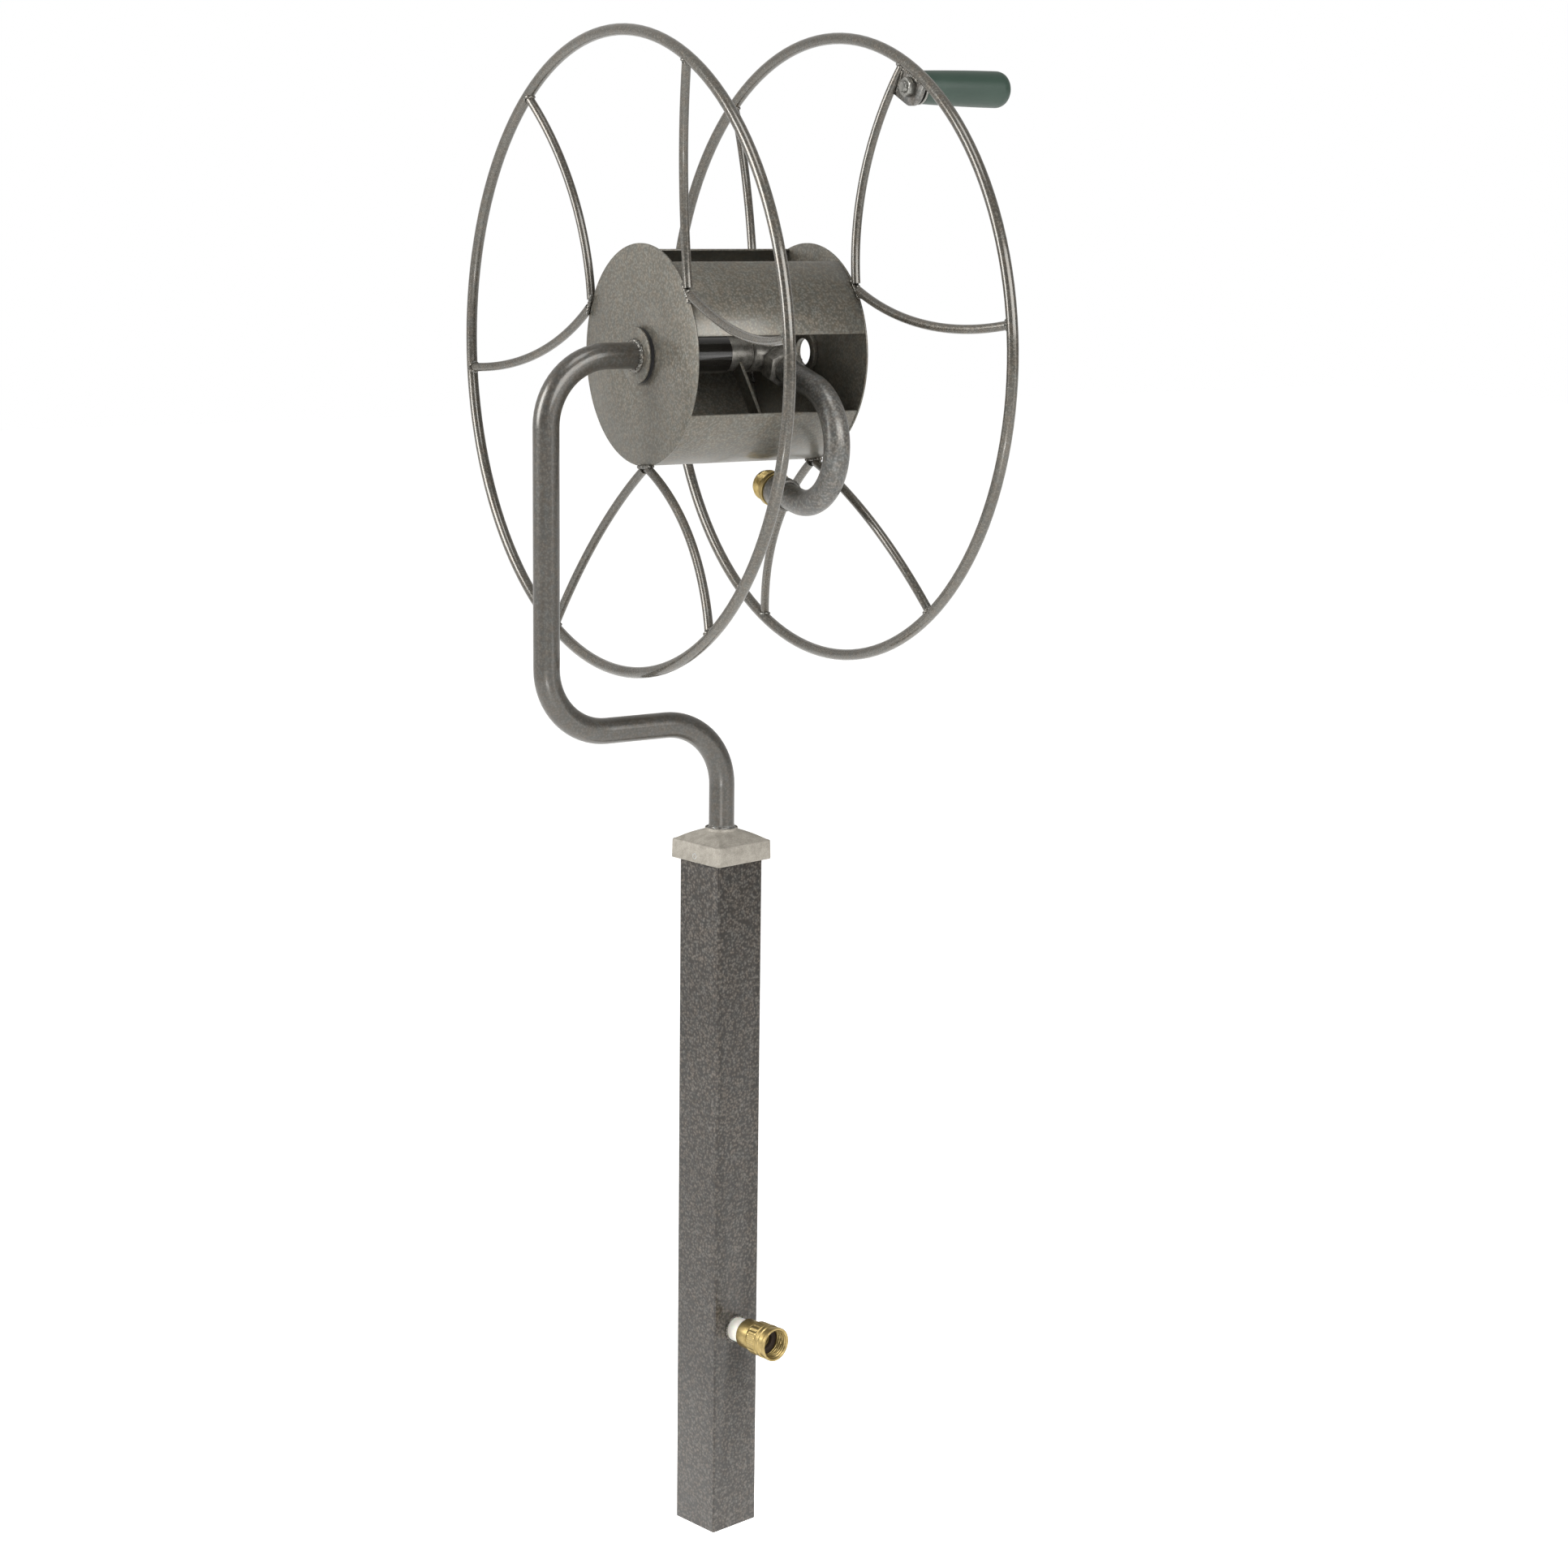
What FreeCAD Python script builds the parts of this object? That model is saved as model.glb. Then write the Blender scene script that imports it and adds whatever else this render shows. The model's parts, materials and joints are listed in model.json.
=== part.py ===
"""Free-standing swivel post hose reel.

A square steel post carries a cast cap.  A cranked pipe arm turns in the cap about the post's axis,
and a two-wheel reel turns on the arm's horizontal end.  Water enters a brass coupling near the foot,
rises inside the post, crosses a rotary union into the arm, crosses a second one inside the drum and
leaves through a curled outlet tube.  Millimetres, +Z up, origin at the centre of the post's foot,
+X along the reel's axis towards the crank handle, front of the reel towards -Y.
"""
import FreeCAD, Part
import math
import os

V = FreeCAD.Vector
os.makedirs("parts", exist_ok=True)

# ---------------------------------------------------------------- driving dimensions
# square post, turned a little from the arm
post_side = 50.8
post_wall = 2.1
post_height = 624.0
post_corner = 1.6
post_turn = 10.2
post_inner_corner = 1.0
foot_plate_thickness = 3.0

# cast cap on the post
cap_side = 62.4
cap_bottom = 613.5
cap_skirt_top = 629.5
cap_top = 640.0
cap_top_side = 31.0
cap_edge = 1.5
cap_clearance = 0.1
cap_bush_radius = 12.8
cap_bush_lip_radius = 13.8
cap_bush_lip = 1.5
cap_bush_length = 22.0
cap_screw_height = 619.0
cap_screw_radius = 3.0
cap_screw_length = 6.0
cap_screw_socket = 3.0

# cranked pipe arm
pipe_radius = 11.1
pipe_wall = 2.0
pipe_bore = pipe_radius - pipe_wall
bend_radius = 57.0
arm_foot = 472.0
arm_run_height = 735.6
arm_reach = 172.3
running_gap = 0.08
groove_depth = 0.9
clip_thickness = 1.5
riser_clip_drop = 24.0
riser_clip_radius = 13.4
collar_radius = 13.6
collar_height = 4.0

# reel
axis_height = 1049.7
arm_end = 31.5
wheel_radius = 262.7
wheel_plane = 105.3
rim_rod = 4.75
spoke_rod = 3.75
spoke_tip_radius = 94.7
spoke_end_radius = 258.0
spoke_half_span = 29.7
spoke_tip_half = 2.3
spoke_bow = 14.0
spoke_set_in = 3.0
fork_angles = (54.0, 174.0, 294.0)
left_clocking = 0.5
right_clocking = -1.2

# drum
disc_radius = 92.0
disc_thickness = 1.6
disc_inner_plane = 81.6
shell_radius = 91.5
shell_thickness = 1.5
front_plate_span = (31.2, 77.6)
shell_span = (119.5, 341.0)
right_hole = 11.5
right_ring_outer = 18.0
right_ring_depth = 4.0

# hub on the arm
hub_radius = 16.1
hub_wall = 2.0
hub_left = -83.2
hub_right = -3.0
bush_length = 18.0
bush_lip = 2.2
bush_lip_gap = 0.3
flange_radius = 23.6
flange_thickness = 1.6
thrust_washer_thickness = 1.0
washer_set_back = 0.6
press_gap = 0.02

# rotary swivel in the drum
gland_radius = 14.7
gland_left = -2.6
gland_right = 19.0
arm_clip_x = 8.0
swivel_radius = 16.0
swivel_neck = 13.2
swivel_neck_left = 11.5
swivel_left = 20.0
swivel_right = 58.0
water_bore = 8.8
seal_section = 2.4
seal_outer = 13.5
seal_pitch = 5.0
arm_clip_radius = 12.6
gland_seat = 5.0
plug_length = 8.0
plug_radius = 10.0
plug_hexagon = 22.0
plug_head = 6.0
bracket_left = 5.5
bracket_thickness = 3.0
bracket_width = 13.4
bracket_angle = 142.7

# curled outlet tube
outlet_plane = 43.0
outlet_drop = 4.6
outlet_tilt = 16.0
outlet_curl = 50.0
outlet_centre_y = -57.0
outlet_centre_z = -73.0
outlet_rise = 11.0
outlet_straight = 26.0
outlet_boss = 13.5
outlet_boss_length = 22.0
outlet_tube_start = 17.0
union_nut_start = 16.0
union_nut_length = 14.0
union_nut_flats = 30.0
outlet_collar_radius = 14.2
outlet_collar_start = 14.0
outlet_collar_length = 19.0
thread_radius = 13.4
thread_shoulder_radius = 15.2
thread_shoulder = 4.5
thread_end = 19.5
thread_spigot = 6.5

# crank handle
handle_radius = 249.6
handle_angle = 27.95
lug_left = 103.6
lug_thickness = 3.4
lug_end_radius = 15.2
lug_spoke_side = (23.0, 22.0)
lug_rim_side = 260.0
bolt_radius = 4.75
nut_flats = 14.3
nut_length = 6.6
bolt_tail = 9.5
bolt_head = 6.0
spring_washer_thickness = 3.2
spring_washer_radius = 8.0
washer_thickness = 2.2
washer_radius = 14.2
grip_start = 113.0
grip_end = 198.0
grip_inner_radius = 13.6
grip_outer_radius = 15.1
grip_recess_radius = 9.0
grip_recess_depth = 9.5
grip_nose = 9.0
grip_edge = 1.5

# water inlet
inlet_height = 187.5
nipple_radius = 10.7
nipple_bore = 7.0
nipple_start = 11.0
nipple_socket = 9.0
tailpiece_start = 38.6
tailpiece_radius = 13.0
tailpiece_neck = 9.5
tailpiece_lip = 11.6
tailpiece_lip_length = 2.5
tailpiece_bore = 6.5
nut_start = 53.0
nut_end = 77.6
nut_radius = 15.1
nut_thread_radius = 12.5
nut_seat_depth = 6.2
inlet_washer_thickness = 3.0
inlet_washer_bore = 7.6
elbow_radius = 12.5
elbow_boss_radius = 14.5
elbow_boss_length = 21.0
elbow_rise = 52.0
elbow_barb = 26.0
barb_rise = 0.6
barb_length = 5.0
barb_pitch = 7.0
barb_start = 3.0
waterway = 6.0
hose_bore = 8.2
hose_outer = 11.5
clamp_width = 9.0
clamp_band = 0.9
clamp_set_in = 6.0

# rotary union in the post
union_bottom = 436.0
union_cup_bottom = 462.0
union_top = 500.0
union_radius = 18.0
union_flange_radius = 21.5
union_flange = 4.0
union_seal_start = 8.0
union_seal_pitch = 8.0
union_screw_place = 17.0
union_screw_radius = 2.0
union_screw_length = 16.0
union_screw_head = 3.4
union_screw_head_height = 2.5
guide_block_height = 24.0

X_AXIS = V(1, 0, 0)
Y_AXIS = V(0, 1, 0)
Z_AXIS = V(0, 0, 1)
ORIGIN = V(0, 0, 0)
parts = {}


# ---------------------------------------------------------------- building blocks
def rod(start, direction, radius, length):
    return Part.makeCylinder(radius, length, start, direction)


def sleeve(start, direction, outer, inner, length):
    return rod(start, direction, outer, length).cut(rod(start, direction, inner, length))


def upright(z0, z1, radius):
    """A cylinder on the post's axis."""
    return rod(V(0, 0, z0), Z_AXIS, radius, z1 - z0)


def upright_sleeve(z0, z1, outer, inner):
    return upright(z0, z1, outer).cut(upright(z0, z1, inner))


def reel_rod(x0, x1, radius):
    """A cylinder on the reel's axis."""
    return rod(V(x0, 0, axis_height), X_AXIS, radius, x1 - x0)


def reel_sleeve(x0, x1, outer, inner):
    return reel_rod(x0, x1, outer).cut(reel_rod(x0, x1, inner))


def square_bar(side, z0, z1, corner=0.0):
    """A square bar on the post's axis, with its long edges rounded."""
    bar = Part.makeBox(side, side, z1 - z0, V(-side / 2, -side / 2, z0))
    if corner:
        long_edges = [e for e in bar.Edges if abs(e.tangentAt(0).z) > 0.9]
        bar = bar.makeFillet(corner, long_edges)
    return bar


def prism(corners, push):
    """A closed outline of points, pushed along a vector."""
    return Part.Face(Part.makePolygon(corners + corners[:1])).extrude(push)


def hexagon(start, direction, across_flats, length, spin=0.0):
    """A hexagonal bar whose corners are turned down at both ends."""
    corner = across_flats / math.sqrt(3)
    angles = [math.radians(60 * side + spin) for side in range(6)]
    points = [V(corner * math.cos(a), corner * math.sin(a), 0) for a in angles]
    corner_cut = 0.13 * corner
    run = 0.5 * corner_cut
    envelope = Part.makeCone(corner - corner_cut, corner, run)
    envelope = envelope.fuse(Part.makeCylinder(corner, length - 2 * run, V(0, 0, run)))
    envelope = envelope.fuse(Part.makeCone(corner, corner - corner_cut, run, V(0, 0, length - run)))
    bar = prism(points, V(0, 0, length)).common(envelope)
    bar.Placement = FreeCAD.Placement(start, FreeCAD.Rotation(Z_AXIS, direction))
    return bar


def at_polar(radius, degrees, x):
    """A point beside the reel's axis; the angle runs from the top towards the front."""
    a = math.radians(degrees)
    return V(x, -radius * math.sin(a), axis_height + radius * math.cos(a))


def bent_path(corners, radius):
    """Straight runs through a list of corners, each corner rounded to one radius."""
    edges = []
    start = corners[0]
    for before, corner, after in zip(corners, corners[1:], corners[2:]):
        back = (before - corner).normalize()
        ahead = (after - corner).normalize()
        turn = math.pi - back.getAngle(ahead)
        inset = radius * math.tan(turn / 2)
        enter = corner + back * inset
        leave = corner + ahead * inset
        bisector = (back + ahead).normalize()
        middle = corner + bisector * (radius / math.cos(turn / 2) - radius)
        edges.append(Part.LineSegment(start, enter).toShape())
        edges.append(Part.Arc(enter, middle, leave).toShape())
        start = leave
    edges.append(Part.LineSegment(start, corners[-1]).toShape())
    return edges


def swept(edges, radius):
    """A round bar along a path of edges."""
    path = Part.Wire(edges)
    first = edges[0]
    start = first.valueAt(first.FirstParameter)
    tangent = first.tangentAt(first.FirstParameter)
    profile = Part.Wire([Part.makeCircle(radius, start, tangent)])
    return path.makePipeShell([profile], True, True)


def swept_tube(edges, outer, inner):
    return swept(edges, outer).cut(swept(edges, inner))


def c_clip(start, direction, outer, inner, gap_direction):
    """An open retaining ring."""
    ring = sleeve(start, direction, outer, inner, clip_thickness)
    middle = start + direction * (clip_thickness / 2)
    slot = rod(middle, gap_direction, 2.0, outer + 1)
    return ring.cut(slot)


def seal_pair(start, direction, pitch):
    """Two seals in square grooves: each fills its groove and just clears the pipe."""
    rings = []
    for index in range(2):
        place = start + direction * (index * pitch)
        rings.append(sleeve(place, direction, seal_outer, pipe_radius + running_gap, seal_section))
    return rings


def turned(shape):
    """Turns a piece of the post by the post's own turn about its axis."""
    result = shape.copy()
    result.rotate(ORIGIN, Z_AXIS, post_turn)
    return result


def soften_ends(bar, cut):
    """A round bar with its two end edges chamfered."""
    return bar.makeChamfer(cut, [edge for edge in bar.Edges if edge.Closed and len(edge.Vertexes) == 1])


# ---------------------------------------------------------------- post
def make_post():
    inner = post_side - 2 * post_wall
    tube = square_bar(post_side, 0, post_height, post_corner)
    tube = tube.cut(square_bar(inner, 0, post_height, post_inner_corner))
    inlet_hole = rod(V(0, -inner / 2 + 1, inlet_height), -Y_AXIS, nipple_radius + 0.3, 2 * post_wall + 1)
    parts["post_tube"] = turned(tube.cut(inlet_hole))
    parts["post_foot_plate"] = turned(square_bar(inner, 0, foot_plate_thickness, post_inner_corner))


def make_cap():
    half = cap_side / 2
    top = cap_top_side / 2
    skirt = square_bar(cap_side, cap_bottom, cap_skirt_top)
    corners = ((-1, -1), (1, -1), (1, 1), (-1, 1))
    base_ring = [V(half * x, half * y, cap_skirt_top) for x, y in corners]
    top_ring = [V(top * x, top * y, cap_top) for x, y in corners]
    outlines = [Part.makePolygon(ring + ring[:1]) for ring in (base_ring, top_ring)]
    roof = Part.makeLoft(outlines, True, True)
    cap = skirt.fuse(roof).removeSplitter()
    upright_edges = [e for e in cap.Edges if abs(e.tangentAt(e.FirstParameter).z) > 0.9]
    cap = cap.makeFillet(cap_edge, upright_edges)
    cap = cap.cut(square_bar(post_side + 2 * cap_clearance, cap_bottom, post_height, post_corner))
    cap = cap.cut(upright(post_height - 1, cap_top + 1, cap_bush_radius))
    cap = cap.cut(upright(cap_top - cap_bush_lip, cap_top + 1, cap_bush_lip_radius))
    for side in (-1, 1):
        start = V(side * (post_side / 2 - 1), 0, cap_screw_height)
        cap = cap.cut(rod(start, X_AXIS * side, cap_screw_radius, cap_side))
    parts["post_cap"] = turned(cap)

    screws = []
    for side in (-1, 1):
        start = V(side * post_side / 2, 0, cap_screw_height)
        screw = rod(start, X_AXIS * side, cap_screw_radius - 0.05, cap_screw_length)
        socket_start = start + X_AXIS * side * (cap_screw_length - 2.5)
        screws.append(screw.cut(hexagon(socket_start, X_AXIS * side, cap_screw_socket, 4.0)))
    parts["cap_set_screws"] = turned(Part.makeCompound(screws))


def make_riser_bearings():
    bore = pipe_radius + running_gap
    lip_bottom = cap_top - cap_bush_lip
    bush = upright(cap_top - cap_bush_length, lip_bottom, cap_bush_radius - 0.05)
    bush = bush.fuse(upright(lip_bottom, cap_top, cap_bush_lip_radius - 0.05))
    parts["cap_bush"] = bush.cut(upright(union_top, cap_top + 1, bore))

    block_top = union_top + guide_block_height
    block_side = post_side - 2 * post_wall - 2 * cap_clearance
    block = square_bar(block_side, union_top, block_top, post_inner_corner)
    block = block.cut(upright(union_top - 1, block_top + 1, bore))
    for side in (-1, 1):
        hole_depth = union_screw_length - union_flange + 2
        hole_start = V(side * union_screw_place, 0, union_top)
        block = block.cut(rod(hole_start, Z_AXIS, union_screw_radius, hole_depth))
    parts["riser_guide_block"] = turned(block)


def add_barbs(body, first, step, taper_up):
    """Three hose barbs along an upright spigot, counted from its free end."""
    for index in range(3):
        low = first + step * barb_pitch * index - (0 if step > 0 else barb_length)
        radii = (hose_bore, hose_bore + barb_rise) if taper_up else (hose_bore + barb_rise, hose_bore)
        body = body.fuse(Part.makeCone(*radii, barb_length, V(0, 0, low)))
    return body


def make_post_union():
    bore = pipe_radius + running_gap
    flange_bottom = union_top - union_flange
    body = upright(union_cup_bottom, union_top, union_radius)
    body = body.fuse(upright(flange_bottom, union_top, union_flange_radius))
    body = body.fuse(upright(union_bottom, union_cup_bottom, hose_bore))
    body = add_barbs(body, union_bottom + barb_start, 1, True)
    body = body.cut(upright(arm_foot - 2, union_top, bore))
    body = body.cut(upright(union_bottom, arm_foot, waterway))
    first_seal = arm_foot + union_seal_start
    for place in (first_seal, first_seal + union_seal_pitch):
        body = body.cut(upright(place, place + seal_section, seal_outer))
    for side in (-1, 1):
        start = V(side * union_screw_place, 0, flange_bottom - 2)
        body = body.cut(rod(start, Z_AXIS, union_screw_radius + 0.05, union_flange + 4))
    parts["post_union_body"] = turned(body)
    parts["post_union_seals"] = Part.makeCompound(seal_pair(V(0, 0, first_seal), Z_AXIS, union_seal_pitch))

    screws = []
    for side in (-1, 1):
        place = V(side * union_screw_place, 0, flange_bottom)
        screw = rod(place, Z_AXIS, union_screw_radius - 0.05, union_screw_length)
        head_bottom = place - Z_AXIS * union_screw_head_height
        head = rod(head_bottom, Z_AXIS, union_screw_head, union_screw_head_height)
        head = head.cut(upright(union_cup_bottom, union_top, union_radius))
        screws.append(screw.fuse(head))
    parts["post_union_screws"] = turned(Part.makeCompound(screws))


def make_supply_line():
    elbow_top = inlet_height + elbow_rise
    barb_bottom = elbow_top - elbow_barb
    elbow_centre = V(0, 0, inlet_height)
    body = Part.makeSphere(elbow_radius, elbow_centre)
    body = body.fuse(rod(elbow_centre, -Y_AXIS, elbow_boss_radius, elbow_boss_length))
    body = body.fuse(upright(inlet_height, barb_bottom, pipe_radius))
    body = body.fuse(upright(barb_bottom, elbow_top, hose_bore))
    body = add_barbs(body, elbow_top - barb_start, -1, False)
    body = body.cut(upright(inlet_height, elbow_top, waterway))
    body = body.cut(inlet_rod(-1, elbow_boss_length, waterway))
    body = body.cut(inlet_rod(nipple_start - 1, elbow_boss_length + 1, nipple_radius))
    parts["inlet_elbow"] = turned(body)

    low = barb_bottom + 0.5
    high = union_cup_bottom - 0.5
    parts["supply_hose"] = upright_sleeve(low, high, hose_outer, hose_bore + barb_rise + 0.02)

    clamps = []
    for place in (low + clamp_set_in, high - clamp_set_in - clamp_width):
        band = upright_sleeve(place, place + clamp_width, hose_outer + clamp_band, hose_outer)
        box = Part.makeBox(8, 11, clamp_width - 1, V(hose_outer + 0.3, -5.5, place + 0.5))
        screw = rod(V(hose_outer + 4.5, -8.5, place + clamp_width / 2), Y_AXIS, 2.8, 3)
        box = box.cut(upright(place, place + clamp_width, hose_outer + clamp_band / 2))
        clamps.append(band.fuse(box).fuse(screw))
    parts["hose_clamps"] = Part.makeCompound(clamps)


def inlet_rod(y0, y1, radius):
    """A cylinder on the inlet's axis, measured outwards from the post's axis."""
    return rod(V(0, -y0, inlet_height), -Y_AXIS, radius, y1 - y0)


def make_inlet():
    socket_end = tailpiece_start + nipple_socket
    nipple = inlet_rod(nipple_start, socket_end, nipple_radius - 0.05)
    parts["inlet_nipple"] = turned(nipple.cut(inlet_rod(nipple_start - 1, socket_end + 1, nipple_bore)))

    lip_start = nut_start + 5.0
    lip_end = lip_start + tailpiece_lip_length
    tail = soften_ends(inlet_rod(tailpiece_start, nut_start - 0.8, tailpiece_radius), 0.8)
    tail = tail.fuse(inlet_rod(nut_start - 1.5, lip_end, tailpiece_neck))
    tail = tail.fuse(inlet_rod(lip_start, lip_end, tailpiece_lip))
    tail = tail.cut(inlet_rod(tailpiece_start - 1, socket_end + 0.2, nipple_radius))
    parts["inlet_tailpiece"] = turned(tail.cut(inlet_rod(tailpiece_start, lip_end + 1, tailpiece_bore)))

    seat_end = lip_start + nut_seat_depth
    nut = soften_ends(inlet_rod(nut_start, nut_end, nut_radius), 1.0)
    nut = nut.cut(inlet_rod(nut_start - 1, nut_end, tailpiece_neck + 0.15))
    nut = nut.cut(inlet_rod(lip_start - 0.35, seat_end, nut_thread_radius + 0.5))
    parts["inlet_swivel_nut"] = turned(nut.cut(inlet_rod(seat_end, nut_end + 1, nut_thread_radius)))
    washer_start = lip_end + 0.4
    washer_end = washer_start + inlet_washer_thickness
    washer = inlet_rod(washer_start, washer_end, nut_thread_radius + 0.4)
    washer = washer.cut(inlet_rod(washer_start - 1, washer_end + 1, inlet_washer_bore))
    parts["inlet_washer"] = turned(washer)


# ---------------------------------------------------------------- arm
def make_arm():
    corners = [V(0, 0, arm_foot), V(0, 0, arm_run_height), V(-arm_reach, 0, arm_run_height),
               V(-arm_reach, 0, axis_height), V(arm_end, 0, axis_height)]
    path = bent_path(corners, bend_radius)
    pipe = swept_tube(path, pipe_radius, pipe_bore)
    groove_floor = pipe_radius - groove_depth
    clip_bottom = cap_top - riser_clip_drop
    clip_top = clip_bottom + clip_thickness
    pipe = pipe.cut(upright_sleeve(clip_bottom, clip_top, pipe_radius + 1, groove_floor))
    pipe = pipe.cut(reel_sleeve(arm_clip_x, arm_clip_x + clip_thickness, pipe_radius + 1, groove_floor))
    parts["arm_pipe"] = pipe
    parts["riser_clip"] = c_clip(V(0, 0, clip_bottom), Z_AXIS, riser_clip_radius, groove_floor, Y_AXIS)
    parts["arm_clip"] = c_clip(V(arm_clip_x, 0, axis_height), X_AXIS, arm_clip_radius, groove_floor, Z_AXIS)

    collar = soften_ends(upright(cap_top + 0.25, cap_top + collar_height, collar_radius), 0.8)
    parts["arm_collar"] = collar.cut(upright(cap_top, cap_top + collar_height + 1, pipe_radius))

    washer_right = hub_left - bush_lip - bush_lip_gap
    washer_left = washer_right - thrust_washer_thickness
    flange_left = washer_left - flange_thickness
    parts["arm_flange"] = reel_sleeve(flange_left, washer_left, flange_radius, pipe_radius)
    parts["thrust_washer"] = reel_sleeve(washer_left, washer_right, flange_radius - washer_set_back,
                                         pipe_radius + 0.05)


# ---------------------------------------------------------------- reel
def make_rim(plane):
    return Part.makeTorus(wheel_radius, rim_rod, V(plane, 0, axis_height), X_AXIS)


def make_spoke(side, fork_angle, hand, rim, keep_out):
    """One bowed rod from the drum's edge out to the rim."""
    tip = at_polar(spoke_tip_radius, fork_angle + hand * spoke_tip_half, side * (disc_inner_plane + 0.8))
    end = at_polar(spoke_end_radius, fork_angle + hand * spoke_half_span, side * wheel_plane)
    middle = (tip + end) * 0.5
    across = at_polar(1, fork_angle + hand * 90, 0) - V(0, 0, axis_height)
    chord = (end - tip).normalize()
    outward = (across - chord * across.dot(chord)).normalize()
    middle = middle + outward * spoke_bow - X_AXIS * side * spoke_set_in
    spoke = swept([Part.Arc(tip, middle, end).toShape()], spoke_rod)
    beyond = Part.makeBox(80, 60, 80, V(-40, 0, -40))
    fork_point = at_polar(spoke_tip_radius, fork_angle, side * disc_inner_plane)
    beyond.Placement = FreeCAD.Placement(fork_point, FreeCAD.Rotation(Y_AXIS, -across))
    spoke = spoke.cut(beyond)
    for piece in keep_out + [rim]:
        spoke = spoke.cut(piece)
    return max(spoke.Solids, key=lambda solid: solid.Volume)


def make_wheels():
    outer_plane = disc_inner_plane + disc_thickness
    for name, side, clocking in (("left", -1, left_clocking), ("right", 1, right_clocking)):
        rim = make_rim(side * wheel_plane)
        parts["rim_" + name] = rim
        keep_out = [reel_rod(-outer_plane, outer_plane, disc_radius)]
        number = 0
        for fork_angle in fork_angles:
            for hand in (-1, 1):
                number += 1
                spoke = make_spoke(side, fork_angle + clocking, hand, rim, keep_out)
                parts["spoke_%s_%d" % (name, number)] = spoke


def shell_sector(span):
    """A strip of rolled sheet between two angles, reaching from disc to disc."""
    sheet = reel_sleeve(-disc_inner_plane, disc_inner_plane, shell_radius, shell_radius - shell_thickness)
    start, stop = span
    corners = [V(-disc_inner_plane, 0, axis_height)]
    steps = 8
    for step in range(steps + 1):
        angle = start + (stop - start) * step / steps
        corners.append(at_polar(2 * shell_radius, angle, -disc_inner_plane))
    return sheet.common(prism(corners, V(2 * disc_inner_plane, 0, 0)))


def make_drum():
    outer_plane = disc_inner_plane + disc_thickness
    parts["drum_disc_left"] = reel_sleeve(-outer_plane, -disc_inner_plane, disc_radius, hub_radius)
    parts["drum_disc_right"] = reel_sleeve(disc_inner_plane, outer_plane, disc_radius, right_hole)
    parts["right_hub_ring"] = reel_sleeve(disc_inner_plane - right_ring_depth, disc_inner_plane,
                                          right_ring_outer, right_hole)
    parts["drum_shell"] = shell_sector(shell_span)
    parts["drum_front_plate"] = shell_sector(front_plate_span)


def make_hub():
    hub_bore = hub_radius - hub_wall
    bore = pipe_radius + running_gap
    parts["hub_tube"] = reel_sleeve(hub_left, hub_right, hub_radius, hub_bore)
    outer_bush = reel_rod(hub_left, hub_left + bush_length, hub_bore - press_gap)
    outer_bush = outer_bush.fuse(reel_rod(hub_left - bush_lip, hub_left, flange_radius - washer_set_back))
    outer_bush = outer_bush.cut(reel_rod(hub_left - bush_lip - 1, hub_left + bush_length + 1, bore))
    parts["hub_bush_outer"] = outer_bush
    parts["hub_bush_inner"] = reel_sleeve(hub_right - bush_length, hub_right, hub_bore - press_gap, bore)


def outlet_direction():
    tilt = math.radians(outlet_tilt)
    return V(0, -math.cos(tilt), -math.sin(tilt))


def outlet_root():
    return V(outlet_plane, 0, axis_height - outlet_drop)


def make_swivel():
    bore = pipe_radius + running_gap
    direction = outlet_direction()
    root = outlet_root()
    plug_start = swivel_right - plug_length
    body = soften_ends(reel_rod(swivel_left, swivel_right, swivel_radius), 1.2)
    body = body.fuse(reel_rod(swivel_neck_left, swivel_left + 2, swivel_neck))
    body = body.fuse(rod(root, direction, outlet_boss, outlet_boss_length))
    body = body.cut(reel_rod(swivel_neck_left - 1, arm_end + 0.6, bore))
    body = body.cut(reel_rod(arm_end, plug_start, water_bore))
    body = body.cut(reel_rod(plug_start, swivel_right + 1, plug_radius))
    body = body.cut(rod(root, direction, water_bore, outlet_boss_length + 1))
    tube_seat = root + direction * outlet_tube_start
    body = body.cut(rod(tube_seat, direction, pipe_radius + 0.03, outlet_boss_length))
    seal_start = swivel_left + 2.0
    for place in (seal_start, seal_start + seal_pitch):
        body = body.cut(reel_rod(place, place + seal_section, seal_outer))
    parts["swivel_body"] = body
    parts["swivel_seals"] = Part.makeCompound(seal_pair(V(seal_start, 0, axis_height), X_AXIS, seal_pitch))

    plug = reel_rod(plug_start, swivel_right, plug_radius - 0.05)
    plug = plug.fuse(hexagon(V(swivel_right, 0, axis_height), X_AXIS, plug_hexagon, plug_head))
    parts["swivel_plug"] = plug

    gland = soften_ends(reel_rod(gland_left, gland_right, gland_radius), 0.8)
    gland = gland.cut(reel_rod(gland_left - 1, gland_right, bore))
    parts["gland_nut"] = gland.cut(reel_rod(gland_left + gland_seat, gland_right + 1, swivel_neck + 0.05))


def make_bracket():
    """A flat strap from the drum's shell up to the gland nut, which it holds against turning."""
    strap = Part.makeBox(bracket_thickness, bracket_width, shell_radius, V(0, -bracket_width / 2, 0))
    strap.rotate(ORIGIN, X_AXIS, bracket_angle)
    strap.translate(V(bracket_left, 0, axis_height))
    bracket_right = bracket_left + bracket_thickness
    strap = strap.cut(reel_rod(bracket_left - 1, bracket_right + 1, gland_radius))
    inside = reel_rod(bracket_left - 1, bracket_right + 1, shell_radius - shell_thickness)
    parts["swivel_bracket"] = strap.common(inside)


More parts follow.
